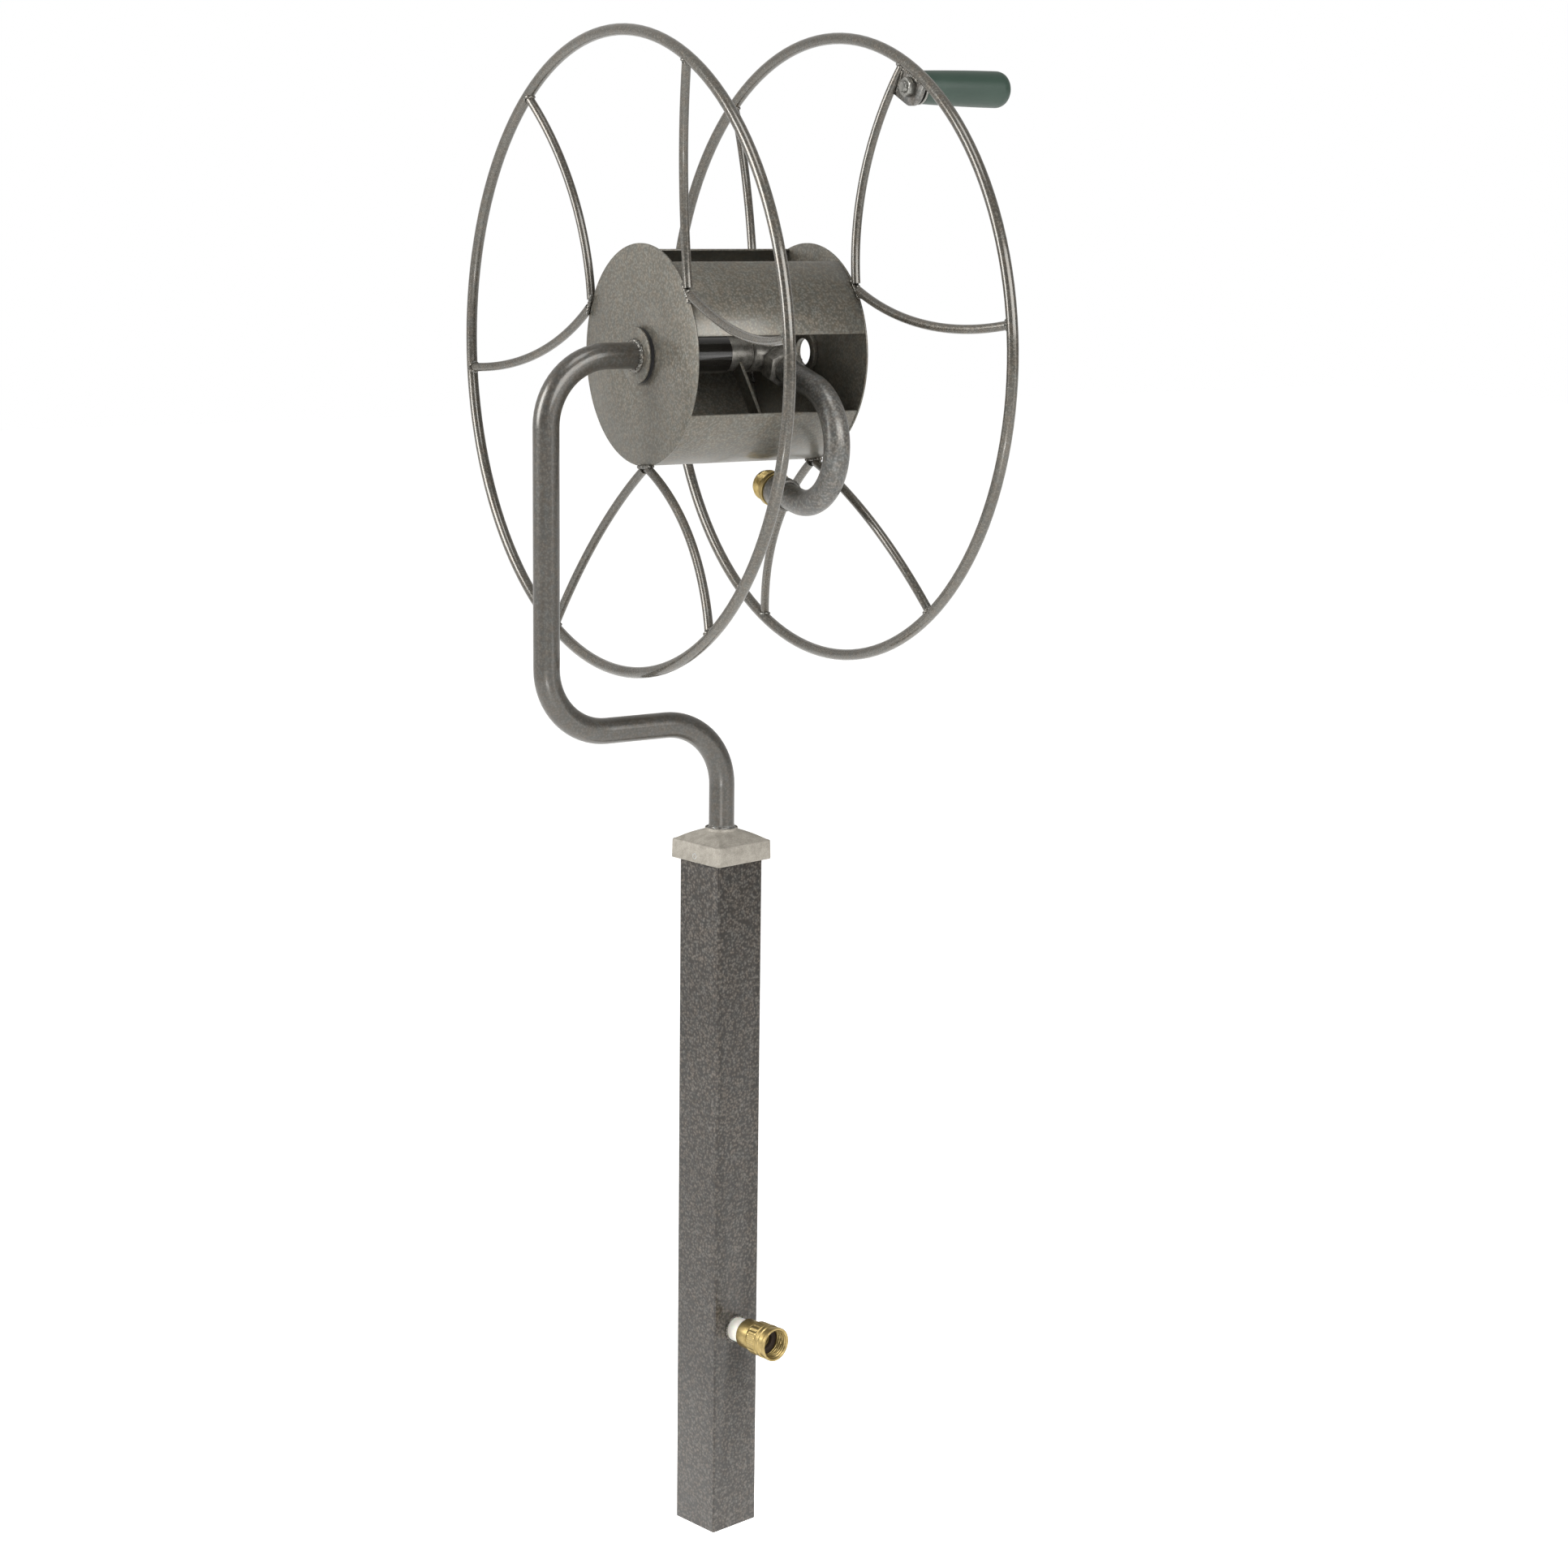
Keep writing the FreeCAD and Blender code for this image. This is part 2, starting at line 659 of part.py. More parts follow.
def outlet_path():
    """The curled tube's centre line, and the point and direction at its open end."""
    root = outlet_root()
    start = root + outlet_direction() * outlet_tube_start

    def on_curl(turn):
        a = math.radians(turn)
        return V(outlet_plane, outlet_centre_y - outlet_curl * math.sin(a),
                 axis_height + outlet_centre_z + outlet_curl * math.cos(a))

    enter = on_curl(outlet_tilt)
    leave = on_curl(180 + outlet_rise)
    rise = math.radians(outlet_rise)
    heading = V(0, math.cos(rise), math.sin(rise))
    stop = leave + heading * outlet_straight
    edges = [Part.LineSegment(start, enter).toShape(),
             Part.Arc(enter, on_curl(90 + outlet_rise), leave).toShape(),
             Part.LineSegment(leave, stop).toShape()]
    return edges, leave, heading


def make_outlet():
    edges, leave, heading = outlet_path()
    parts["outlet_tube"] = swept_tube(edges, pipe_radius, pipe_bore)

    root = outlet_root()
    direction = outlet_direction()
    nut = hexagon(root + direction * union_nut_start, direction, union_nut_flats, union_nut_length, 30)
    before_nut = root + direction * (union_nut_start - 1)
    socket_length = outlet_boss_length - union_nut_start + 1.2
    nut = nut.cut(rod(before_nut, direction, outlet_boss + 0.05, socket_length))
    nut = nut.cut(rod(before_nut, direction, pipe_radius + 0.05, union_nut_length + 2))
    parts["outlet_union_nut"] = nut

    collar_start = leave + heading * outlet_collar_start
    collar = soften_ends(rod(collar_start, heading, outlet_collar_radius, outlet_collar_length), 1.0)
    collar = collar.cut(rod(collar_start - heading, heading, pipe_radius, outlet_collar_length + 2))
    parts["outlet_collar"] = collar

    face = collar_start + heading * outlet_collar_length
    spigot = face - heading * thread_spigot
    fitting = soften_ends(rod(face, heading, thread_shoulder_radius, thread_shoulder), 0.7)
    fitting = fitting.fuse(rod(face, heading, thread_radius, thread_end))
    fitting = fitting.fuse(rod(spigot, heading, pipe_radius, thread_spigot + 1))
    parts["outlet_hose_thread"] = fitting.cut(rod(spigot - heading, heading, pipe_bore, thread_end + 10))


# ---------------------------------------------------------------- crank handle
def handle_rod(x0, x1, radius):
    return rod(at_polar(handle_radius, handle_angle, x0), X_AXIS, radius, x1 - x0)


def make_handle():
    bottom = handle_radius - lug_end_radius
    side_angle = handle_angle + math.degrees(lug_end_radius / handle_radius)
    corner_points = [(bottom, lug_spoke_side[0]), (lug_rim_side, lug_spoke_side[1]), (lug_rim_side, side_angle),
                     (handle_radius, side_angle), (bottom, handle_angle)]
    outline = [at_polar(radius, angle, lug_left) for radius, angle in corner_points]
    lug_right = lug_left + lug_thickness
    lug = prism(outline, X_AXIS * lug_thickness)
    lug = lug.fuse(handle_rod(lug_left, lug_right, lug_end_radius)).removeSplitter()
    lug = lug.cut(parts["rim_right"]).cut(parts["spoke_right_1"])
    lug = lug.cut(handle_rod(lug_left - 1, lug_right + 1, bolt_radius + 0.05))
    parts["handle_lug"] = max(lug.Solids, key=lambda solid: solid.Volume)

    nut_start_x = lug_left - nut_length
    nut = hexagon(at_polar(handle_radius, handle_angle, nut_start_x), X_AXIS, nut_flats, nut_length, 12)
    parts["handle_nut"] = nut.cut(handle_rod(nut_start_x - 1, lug_left + 1, bolt_radius + 0.02))
    spring_right = lug_right + spring_washer_thickness
    spring = handle_rod(lug_right, spring_right, spring_washer_radius)
    spring = spring.cut(handle_rod(lug_right - 1, spring_right + 1, bolt_radius + 0.3))
    parts["handle_spring_washer"] = spring
    washer = handle_rod(spring_right, spring_right + washer_thickness, washer_radius)
    parts["handle_washer"] = washer.cut(handle_rod(lug_right, grip_start, bolt_radius + 0.2))

    head_start = grip_end - grip_recess_depth + 0.4
    bolt = handle_rod(lug_left - bolt_tail, head_start, bolt_radius)
    head_place = at_polar(handle_radius, handle_angle, head_start)
    parts["handle_bolt"] = bolt.fuse(hexagon(head_place, X_AXIS, nut_flats, bolt_head))


def make_grip():
    """A moulded grip, fuller towards its rounded outer end, bored for the handle bolt."""
    edge_in = grip_edge * (1 - math.sqrt(0.5))
    rim_radius = grip_recess_radius + 1
    nose_start = grip_end - grip_nose
    corner_start = V(grip_start, grip_inner_radius - grip_edge, 0)
    corner_middle = V(grip_start + edge_in, grip_inner_radius - edge_in, 0)
    corner_end = V(grip_start + grip_edge, grip_inner_radius, 0)
    nose_middle = V(grip_end - 3.0, grip_outer_radius - 1.85, 0)
    profile = [
        Part.LineSegment(V(grip_start, 0, 0), corner_start).toShape(),
        Part.Arc(corner_start, corner_middle, corner_end).toShape(),
        Part.LineSegment(corner_end, V(nose_start, grip_outer_radius, 0)).toShape(),
        Part.Arc(V(nose_start, grip_outer_radius, 0), nose_middle, V(grip_end, rim_radius, 0)).toShape(),
        Part.LineSegment(V(grip_end, rim_radius, 0), V(grip_end, 0, 0)).toShape(),
        Part.LineSegment(V(grip_end, 0, 0), V(grip_start, 0, 0)).toShape(),
    ]
    grip = Part.Face(Part.Wire(profile)).revolve(ORIGIN, X_AXIS, 360)
    grip.translate(at_polar(handle_radius, handle_angle, 0))
    grip = grip.cut(handle_rod(grip_start - 1, grip_end, bolt_radius + 0.06))
    grip = grip.cut(handle_rod(grip_end - grip_recess_depth, grip_end + 1, grip_recess_radius))
    parts["crank_grip"] = grip


make_post()
make_cap()
make_riser_bearings()
make_post_union()
make_supply_line()
make_inlet()
make_arm()
make_wheels()
make_drum()
make_hub()
make_swivel()
make_bracket()
make_outlet()
make_handle()
make_grip()

for name, shape in parts.items():
    shape.exportStep("parts/%s.step" % name)
    print(name, len(shape.Solids), round(shape.Volume), shape.isValid())
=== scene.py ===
import json
import math
import random

import bmesh
import bpy
from mathutils import Matrix, Vector


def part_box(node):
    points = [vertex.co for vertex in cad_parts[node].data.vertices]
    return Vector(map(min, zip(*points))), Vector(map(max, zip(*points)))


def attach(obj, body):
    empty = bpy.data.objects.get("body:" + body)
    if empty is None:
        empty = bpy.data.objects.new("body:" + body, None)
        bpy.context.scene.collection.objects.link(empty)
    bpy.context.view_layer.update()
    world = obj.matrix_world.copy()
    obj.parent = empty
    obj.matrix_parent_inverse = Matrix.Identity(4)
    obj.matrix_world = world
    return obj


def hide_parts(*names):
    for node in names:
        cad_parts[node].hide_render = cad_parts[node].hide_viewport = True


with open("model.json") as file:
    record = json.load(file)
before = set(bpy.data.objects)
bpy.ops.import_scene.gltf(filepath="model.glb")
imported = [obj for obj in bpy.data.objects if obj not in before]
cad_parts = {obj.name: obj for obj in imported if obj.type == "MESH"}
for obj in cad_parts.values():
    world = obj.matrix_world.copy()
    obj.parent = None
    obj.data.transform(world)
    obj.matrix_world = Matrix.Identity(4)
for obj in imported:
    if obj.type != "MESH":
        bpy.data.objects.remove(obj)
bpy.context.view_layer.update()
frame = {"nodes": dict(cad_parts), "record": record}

X_AXIS = Vector((1, 0, 0))
Z_AXIS = Vector((0, 0, 1))
MM = 0.001

# ---------------------------------------------------------------- places taken from the frame
nodes = frame["nodes"]
joints = {joint["name"]: joint for joint in frame["record"]["behaviour"]["joints"]}
mounts = {mount["name"]: mount for mount in frame["record"]["mounts"]}


def middle(node):
    low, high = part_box(node)
    return (Vector(low) + Vector(high)) / 2


def size_of(node):
    low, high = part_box(node)
    return Vector(high) - Vector(low)


reel_centre = Vector(joints["reel_spin"]["pos_m"])
inlet_centre = Vector(joints["inlet_nut_spin"]["pos_m"])
inlet_axis = Vector(joints["inlet_nut_spin"]["axis"]).normalized()
outlet_mouth = Vector(mounts["outlet"]["pos_m"])
outlet_axis = Vector(mounts["outlet"]["axis"]).normalized()
grip_centre = Vector(joints["grip_spin"]["pos_m"])
post_turn = math.atan2(inlet_axis.x, -inlet_axis.y)
pipe_radius = size_of("arm_collar").x / 2 - 2.5 * MM
wheel_radius = size_of("rim_left").z / 2 - size_of("rim_left").x / 2
rim_rod = size_of("rim_left").x / 2
disc_radius = size_of("drum_disc_left").z / 2
disc_plane = abs(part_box("drum_disc_left")[0][0])
wheel_plane = abs(middle("rim_left").x)
spoke_rod = 3.75 * MM
random_source = random.Random(11)


# ---------------------------------------------------------------- materials
class Finish:
    """A node material built from textures in the piece's own coordinates."""

    def __init__(self, name, **shader):
        self.material = bpy.data.materials.new(name)
        self.material.use_nodes = True
        self.tree = self.material.node_tree
        self.tree.nodes.clear()
        self.output = self.tree.nodes.new("ShaderNodeOutputMaterial")
        self.shader = self.tree.nodes.new("ShaderNodeBsdfPrincipled")
        self.tree.links.new(self.shader.outputs["BSDF"], self.output.inputs["Surface"])
        for socket, value in shader.items():
            self.shader.inputs[socket.replace("_", " ")].default_value = value
        self.place = self.tree.nodes.new("ShaderNodeTexCoord").outputs["Object"]

    def link(self, source, target):
        self.tree.links.new(source, target)

    def noise(self, scale, detail=3.0, rough=0.5):
        node = self.tree.nodes.new("ShaderNodeTexNoise")
        node.inputs["Scale"].default_value = scale
        node.inputs["Detail"].default_value = detail
        node.inputs["Roughness"].default_value = rough
        self.link(self.place, node.inputs["Vector"])
        return node.outputs["Fac"]

    def cells(self, scale):
        node = self.tree.nodes.new("ShaderNodeTexVoronoi")
        node.feature = "SMOOTH_F1"
        node.inputs["Scale"].default_value = scale
        self.link(self.place, node.inputs["Vector"])
        return node.outputs["Distance"]

    def math(self, operation, first, second):
        node = self.tree.nodes.new("ShaderNodeMath")
        node.operation = operation
        for socket, value in zip(node.inputs, (first, second)):
            if isinstance(value, (int, float)):
                socket.default_value = value
            else:
                self.link(value, socket)
        return node.outputs["Value"]

    def ramp(self, factor, stops):
        """Colours or levels along a factor, given as (position, value) pairs."""
        node = self.tree.nodes.new("ShaderNodeValToRGB")
        elements = node.color_ramp.elements
        while len(elements) < len(stops):
            elements.new(0.5)
        for element, (position, value) in zip(elements, stops):
            element.position = position
            colour = (value, value, value) if isinstance(value, (int, float)) else value
            element.color = (*colour, 1.0)
        self.link(factor, node.inputs["Fac"])
        return node.outputs["Color"]

    def multiplied(self, first, second):
        """The product of two colours."""
        node = self.tree.nodes.new("ShaderNodeMix")
        node.data_type = "RGBA"
        node.blend_type = "MULTIPLY"
        sockets = {socket.name: socket for socket in node.inputs if socket.enabled}
        sockets["Factor"].default_value = 1.0
        self.link(first, sockets["A"])
        self.link(second, sockets["B"])
        return next(socket for socket in node.outputs if socket.enabled)

    def colour(self, source):
        self.link(source, self.shader.inputs["Base Color"])

    def roughness(self, source):
        self.link(source, self.shader.inputs["Roughness"])

    def bump(self, height, distance, strength=1.0, under=None):
        node = self.tree.nodes.new("ShaderNodeBump")
        node.inputs["Strength"].default_value = strength
        node.inputs["Distance"].default_value = distance
        self.link(height, node.inputs["Height"])
        if under:
            self.link(under, node.inputs["Normal"])
        self.link(node.outputs["Normal"], self.shader.inputs["Normal"])
        return node.outputs["Normal"]


def hammertone(name, valley, island, cell_size, metallic, gloss, relief, coat=0.35, coat_rough=0.16):
    """Hammered enamel: pale metallic islands in a darker, glossier ground, with fine flake."""
    finish = Finish(name, Metallic=metallic, Coat_Weight=coat, Coat_Roughness=coat_rough)
    wander = finish.noise(0.45 / cell_size, 2.0)
    islands = finish.cells(1.0 / cell_size)
    flake = finish.noise(3.2 / cell_size, 2.0, 0.6)
    clouds = finish.noise(9.0, 3.0)
    mottled = finish.math("MULTIPLY", islands, 0.75)
    for layer, share in ((flake, 0.45), (wander, 0.30)):
        mottled = finish.math("ADD", mottled, finish.math("MULTIPLY", layer, share))
    middle_tone = tuple((low + high) / 2 for low, high in zip(valley, island))
    body = finish.ramp(mottled, [(0.46, island), (0.60, middle_tone), (0.78, valley)])
    drift = finish.ramp(clouds, [(0.35, 0.86), (0.65, 1.12)])
    body = finish.multiplied(body, drift)
    patches = finish.noise(0.30 / cell_size, 3.0, 0.6)
    tint = finish.ramp(patches, [(0.36, (1.0, 0.93, 0.87)), (0.64, (0.93, 0.96, 0.98))])
    finish.colour(finish.multiplied(body, tint))
    finish.roughness(finish.ramp(mottled, [(0.45, gloss + 0.14), (0.75, gloss)]))
    finish.bump(mottled, relief, 0.55)
    return finish.material


def cast_metal(name, dark, pale, metallic, rough, grain, relief):
    """As-cast metal: sandy grain, soft pits and rubbed high spots."""
    finish = Finish(name, Metallic=metallic)
    sand = finish.noise(1.0 / grain, 4.0, 0.65)
    pits = finish.noise(0.16 / grain, 3.0, 0.55)
    tone = finish.ramp(pits, [(0.32, dark), (0.62, pale)])
    shade = finish.ramp(sand, [(0.30, 0.80), (0.70, 1.12)])
    finish.colour(finish.multiplied(tone, shade))
    finish.roughness(finish.ramp(sand, [(0.3, rough + 0.12), (0.7, rough - 0.08)]))
    under = finish.bump(pits, relief * 2.5, 0.6)
    finish.bump(sand, relief, 0.7, under)
    return finish.material


def machined(name, dark, pale, rough, line_scale):
    """Machined metal: fine turning marks, faint tarnish and handling marks."""
    finish = Finish(name, Metallic=1.0)
    lines = finish.noise(line_scale, 2.0, 0.6)
    tarnish = finish.noise(150.0, 4.0, 0.6)
    tone = finish.ramp(tarnish, [(0.30, dark), (0.58, pale)])
    shade = finish.ramp(lines, [(0.30, 0.86), (0.70, 1.06)])
    finish.colour(finish.multiplied(tone, shade))
    finish.roughness(finish.ramp(tarnish, [(0.3, rough + 0.12), (0.65, rough - 0.04)]))
    finish.bump(lines, 0.03 * MM, 0.5)
    return finish.material


def moulded(name, dark, pale, rough, grain, relief, **shader):
    """Moulded plastic or rubber: a faint drift of colour and a fine skin texture."""
    finish = Finish(name, **shader)
    drift = finish.noise(22.0, 3.0)
    skin = finish.noise(1.0 / grain, 3.0, 0.6)
    finish.colour(finish.ramp(drift, [(0.35, dark), (0.65, pale)]))
    finish.roughness(finish.ramp(skin, [(0.3, rough + 0.08), (0.7, rough - 0.05)]))
    finish.bump(skin, relief, 0.5)
    return finish.material


# hammertone: name, valley and island colours, cell size, metallic, gloss, relief, coat, coat roughness
# cast_metal: name, dark and pale colours, metallic, roughness, grain, relief
# machined:   name, dark and pale colours, roughness, scale of the turning marks
# moulded:    name, dark and pale colours, roughness, grain, relief
finishes = {
    "post": hammertone("post_hammertone", (0.032, 0.0285, 0.0248), (0.140, 0.1265, 0.1105),
                       2.2 * MM, 0.30, 0.42, 0.24 * MM),
    "rod": hammertone("rod_hammertone", (0.105, 0.098, 0.084), (0.160, 0.149, 0.128),
                      1.7 * MM, 0.5, 0.24, 0.022 * MM, 0.7, 0.10),
    "pipe": hammertone("pipe_hammertone", (0.088, 0.083, 0.074), (0.128, 0.121, 0.108),
                       1.7 * MM, 0.5, 0.30, 0.030 * MM, 0.5, 0.14),
    # outlet: a paler copy of the same hammertone paint, painted light on the outlet tube, its collar, the
    # crank lug and the riser's flare
    "outlet": hammertone("outlet_hammertone_painted_light", (0.120, 0.118, 0.110), (0.245, 0.240, 0.225),
                         1.9 * MM, 0.5, 0.36, 0.09 * MM, 0.4, 0.22),
    "sheet": hammertone("sheet_hammertone", (0.128, 0.121, 0.101), (0.225, 0.214, 0.182),
                        1.8 * MM, 0.45, 0.36, 0.05 * MM),
    "hub": moulded("hub_enamel", (0.016, 0.014, 0.012), (0.024, 0.022, 0.019), 0.16, 1.2 * MM, 0.02 * MM,
                   Coat_Weight=1.0, Coat_Roughness=0.10),
    "weld": hammertone("weld_enamel", (0.09, 0.086, 0.075), (0.30, 0.29, 0.265),
                       1.3 * MM, 0.60, 0.24, 0.16 * MM),
    "cap": cast_metal("cast_aluminium", (0.29, 0.268, 0.228), (0.385, 0.356, 0.308),
                      0.25, 0.55, 1.1 * MM, 0.12 * MM),
    "casting": cast_metal("swivel_casting", (0.155, 0.147, 0.130), (0.37, 0.353, 0.318),
                          0.6, 0.30, 0.9 * MM, 0.10 * MM),
    "plated": machined("zinc_plate", (0.40, 0.40, 0.38), (0.66, 0.655, 0.63), 0.30, 2200.0),
    # a darker copy of the zinc plate, for the crank's bolt, nut and washer
    "darker_zinc": machined("darker_zinc", (0.17, 0.168, 0.155), (0.38, 0.375, 0.35), 0.34, 2200.0),
    "dark_steel": machined("phosphated_steel", (0.030, 0.029, 0.028), (0.075, 0.073, 0.070), 0.42, 1500.0),
    "brass": machined("brass", (0.31, 0.229, 0.088), (0.50, 0.384, 0.170), 0.36, 1800.0),
    "white_nylon": moulded("white_nylon", (0.90, 0.865, 0.78), (0.96, 0.93, 0.855),
                           0.42, 0.5 * MM, 0.03 * MM, Subsurface_Weight=0.15, Subsurface_Scale=0.004),
    "black_nylon": moulded("black_nylon", (0.018, 0.018, 0.019), (0.034, 0.034, 0.036),
                           0.42, 0.5 * MM, 0.04 * MM),
    "rubber": moulded("nitrile_rubber", (0.030, 0.021, 0.016), (0.060, 0.042, 0.031),
                      0.62, 0.6 * MM, 0.06 * MM),
    "grip": moulded("green_polymer", (0.023, 0.045, 0.033), (0.029, 0.055, 0.040),
                    0.42, 0.45 * MM, 0.04 * MM, Coat_Weight=0.15, Coat_Roughness=0.25),
}

spokes = ["spoke_%s_%d" % (side, number) for side in ("left", "right") for number in range(1, 7)]
DRESS = {
    "post": ["post_tube", "post_foot_plate"],
    "rod": ["rim_left", "rim_right", "handle_lug"] + spokes,
    "pipe": ["arm_pipe"],
    # the outlet tube and its collar take the paler copy of the hammertone: painted light
    "outlet": ["outlet_tube", "outlet_collar"],
    "sheet": ["arm_flange", "swivel_bracket", "drum_disc_left", "drum_disc_right", "drum_shell",
              "drum_front_plate", "right_hub_ring"],
    "hub": ["hub_tube"],
    "cap": ["post_cap"],
    "casting": ["swivel_body", "swivel_plug", "gland_nut", "outlet_union_nut"],
    "plated": ["cap_set_screws", "post_union_screws", "hose_clamps", "handle_nut", "handle_washer",
               "handle_bolt"],
    "dark_steel": ["arm_collar", "riser_clip", "arm_clip", "handle_spring_washer"],
    "brass": ["post_union_body", "inlet_elbow", "inlet_tailpiece", "inlet_swivel_nut",
              "outlet_hose_thread"],
    "white_nylon": ["inlet_nipple"],
    "black_nylon": ["cap_bush", "riser_guide_block", "thrust_washer", "hub_bush_outer", "hub_bush_inner"],
    "rubber": ["post_union_seals", "supply_hose", "inlet_washer", "swivel_seals"],
    "grip": ["crank_grip"],
}
for finish_name, node_names in DRESS.items():
    for node_name in node_names:
        for material_slot in nodes[node_name].material_slots:
            material_slot.material = finishes[finish_name]


# ---------------------------------------------------------------- building pieces
def new_piece(name, body, finish_name, vertices, faces, sharp=35.0):
    """A smooth-shaded mesh piece that rides on a body."""
    mesh = bpy.data.meshes.new(name)
    mesh.from_pydata([tuple(vertex) for vertex in vertices], [], faces)
    mesh.validate()
    mesh.materials.append(finishes[finish_name])
    mesh.shade_smooth()
    mesh.set_sharp_from_angle(angle=math.radians(sharp))
    piece = bpy.data.objects.new(name, mesh)
    bpy.context.collection.objects.link(piece)
    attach(piece, body)
    return piece


def across(direction):
    """Two unit vectors square to a direction and to each other."""
    helper = Z_AXIS if abs(direction.z) < 0.9 else X_AXIS
    first = helper.cross(direction).normalized()
    return first, direction.cross(first)


def ring_point(centre, axes, radius, angle):
    """A point on a circle, whose plane is given by two unit vectors."""
    return centre + (axes[0] * math.cos(angle) + axes[1] * math.sin(angle)) * radius


def ring_faces(rings, sides, closed=True):
    """Four-sided faces between neighbouring rings of points; closed joins the last ring to the first."""
    faces = []
    for ring in range(rings if closed else rings - 1):
        after = (ring + 1) % rings
        for side in range(sides):
            beside = (side + 1) % sides
            faces.append((ring * sides + side, ring * sides + beside,
                          after * sides + beside, after * sides + side))
    return faces


def finely(outline, step):
    """The same closed outline with its long sides cut into short steps."""
    points = []
    for (along, radius), (next_along, next_radius) in zip(outline, outline[1:] + outline[:1]):
        count = max(1, math.ceil(math.hypot(next_along - along, next_radius - radius) / step))
        for index in range(count):
            share = index / count
            points.append((along + (next_along - along) * share,
                           radius + (next_radius - radius) * share))
    return points


def turned(outline, start, direction, sides=96, relief=None):
    """Vertices and faces of a closed outline of (along, radius) points turned about an axis."""
    axes = across(direction)
    vertices = []
    for along, radius in outline:
        for side in range(sides):
            angle = 2 * math.pi * side / sides
            reach = radius + (relief(along, angle, radius) if relief else 0.0)
            vertices.append(ring_point(start + direction * along, axes, reach, angle))
    return vertices, ring_faces(len(outline), sides)


def rounded(start, corner, end, radius, steps=4):
    """Points of a rounded corner of an outline."""
    start, corner, end = Vector(start), Vector(corner), Vector(end)
    enter = corner + (start - corner).normalized() * radius
    leave = corner + (end - corner).normalized() * radius
    points = []
    for step in range(steps + 1):
        share = step / steps
        point = enter.lerp(corner, share).lerp(corner.lerp(leave, share), share)
        points.append((point.x, point.y))
    return points


def soften(outline, radius):
    """Rounds every corner of a closed outline."""
    points = []
    count = len(outline)
    for index in range(count):
        before, corner, after = outline[index - 1], outline[index], outline[(index + 1) % count]
        sides = [math.dist(before, corner), math.dist(corner, after)]
        points += rounded(before, corner, after, min(radius, *(0.45 * side for side in sides)), 3)
    return points


def bead(path, radius, closed=False, pitch=None, jitter=0.12):
    """Vertices and faces of a weld bead: a rippled, slightly uneven rope along a path."""
    pitch = pitch or radius * 0.9
    sides = 10
    vertices = []
    travelled = 0.0
    count = len(path)
    total = sum((after - before).length for before, after in zip(path, path[1:]))
    for index, point in enumerate(path):
        before = path[index - 1] if closed or index else path[0]
        after = path[(index + 1) % count] if closed or index < count - 1 else path[-1]
        heading = (after - before).normalized()
        if index:
            travelled += (point - path[index - 1]).length
        phase = (travelled / pitch) % 1.0
        unevenness = 1 + random_source.uniform(-jitter, jitter) * 0.5
        swell = radius * (0.86 + 0.20 * math.sqrt(1.0 - phase)) * unevenness
        if not closed:
            edge = min(travelled, total - travelled) / radius
            swell *= math.sqrt(max(0.0, 1.0 - (1.0 - min(1.0, edge)) ** 2)) + 0.02
        axes = across(heading)
        vertices += [ring_point(point, axes, swell, 2 * math.pi * side / sides) for side in range(sides)]
    faces = ring_faces(count, sides, closed)
    if not closed:
        faces.append(tuple(reversed(range(sides))))
        faces.append(tuple((count - 1) * sides + side for side in range(sides)))
    return vertices, faces


def joined(meshes):
    """Several sets of vertices and faces as one."""
    vertices, faces = [], []
    for new_vertices, new_faces in meshes:
        offset = len(vertices)
        vertices += new_vertices
        faces += [tuple(index + offset for index in face) for face in new_faces]
    return vertices, faces


def circle_path(centre, direction, radius, count):
    axes = across(direction)
    return [ring_point(centre, axes, radius, 2 * math.pi * index / count) for index in range(count)]


def at_polar(radius, angle, x):
    """A point beside the reel's axis; the angle, in radians, runs from the top towards the front."""
    return Vector((x, -radius * math.sin(angle), reel_centre.z + radius * math.cos(angle)))


def polar_angle(point):
    return math.atan2(-point.y, point.z - reel_centre.z)


def ends_of(node):
    """The centres of a spoke's two ends: nearest to the reel's axis, and farthest from it."""
    points = [vertex.co for vertex in nodes[node].data.vertices]
    reach = [math.hypot(point.y, point.z - reel_centre.z) for point in points]
    near, far = min(reach), max(reach)
    margin = 3 * MM
    inner = [point for point, distance in zip(points, reach) if distance < near + margin]
    outer = [point for point, distance in zip(points, reach) if distance > far - margin]
    return sum(inner, Vector()) / len(inner), sum(outer, Vector()) / len(outer)


def eased(node, body, finish_name, width):
    """A copy of a node with its sharp edges rounded over, in the node's place."""
    weld_distance = 0.002 * MM
    flat_enough = math.radians(0.5)
    sharp_from = math.radians(30.0)
    shape = bmesh.new()
    shape.from_mesh(nodes[node].data)
    bmesh.ops.remove_doubles(shape, verts=shape.verts, dist=weld_distance)
    bmesh.ops.dissolve_limit(shape, angle_limit=flat_enough, verts=shape.verts, edges=shape.edges)
    sharp = [edge for edge in shape.edges
             if len(edge.link_faces) == 2 and edge.calc_face_angle(0.0) > sharp_from]
    bmesh.ops.bevel(shape, geom=sharp, offset=width, offset_type="OFFSET", segments=2, profile=0.5,
                    affect="EDGES", clamp_overlap=True)
    bmesh.ops.triangulate(shape, faces=[face for face in shape.faces if len(face.verts) > 4])
    vertices = [vertex.co.copy() for vertex in shape.verts]
    faces = [tuple(vertex.index for vertex in face.verts) for face in shape.faces]
    shape.free()
    piece = new_piece("eased_" + node, body, finish_name, vertices, faces, 38)
    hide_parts(node)


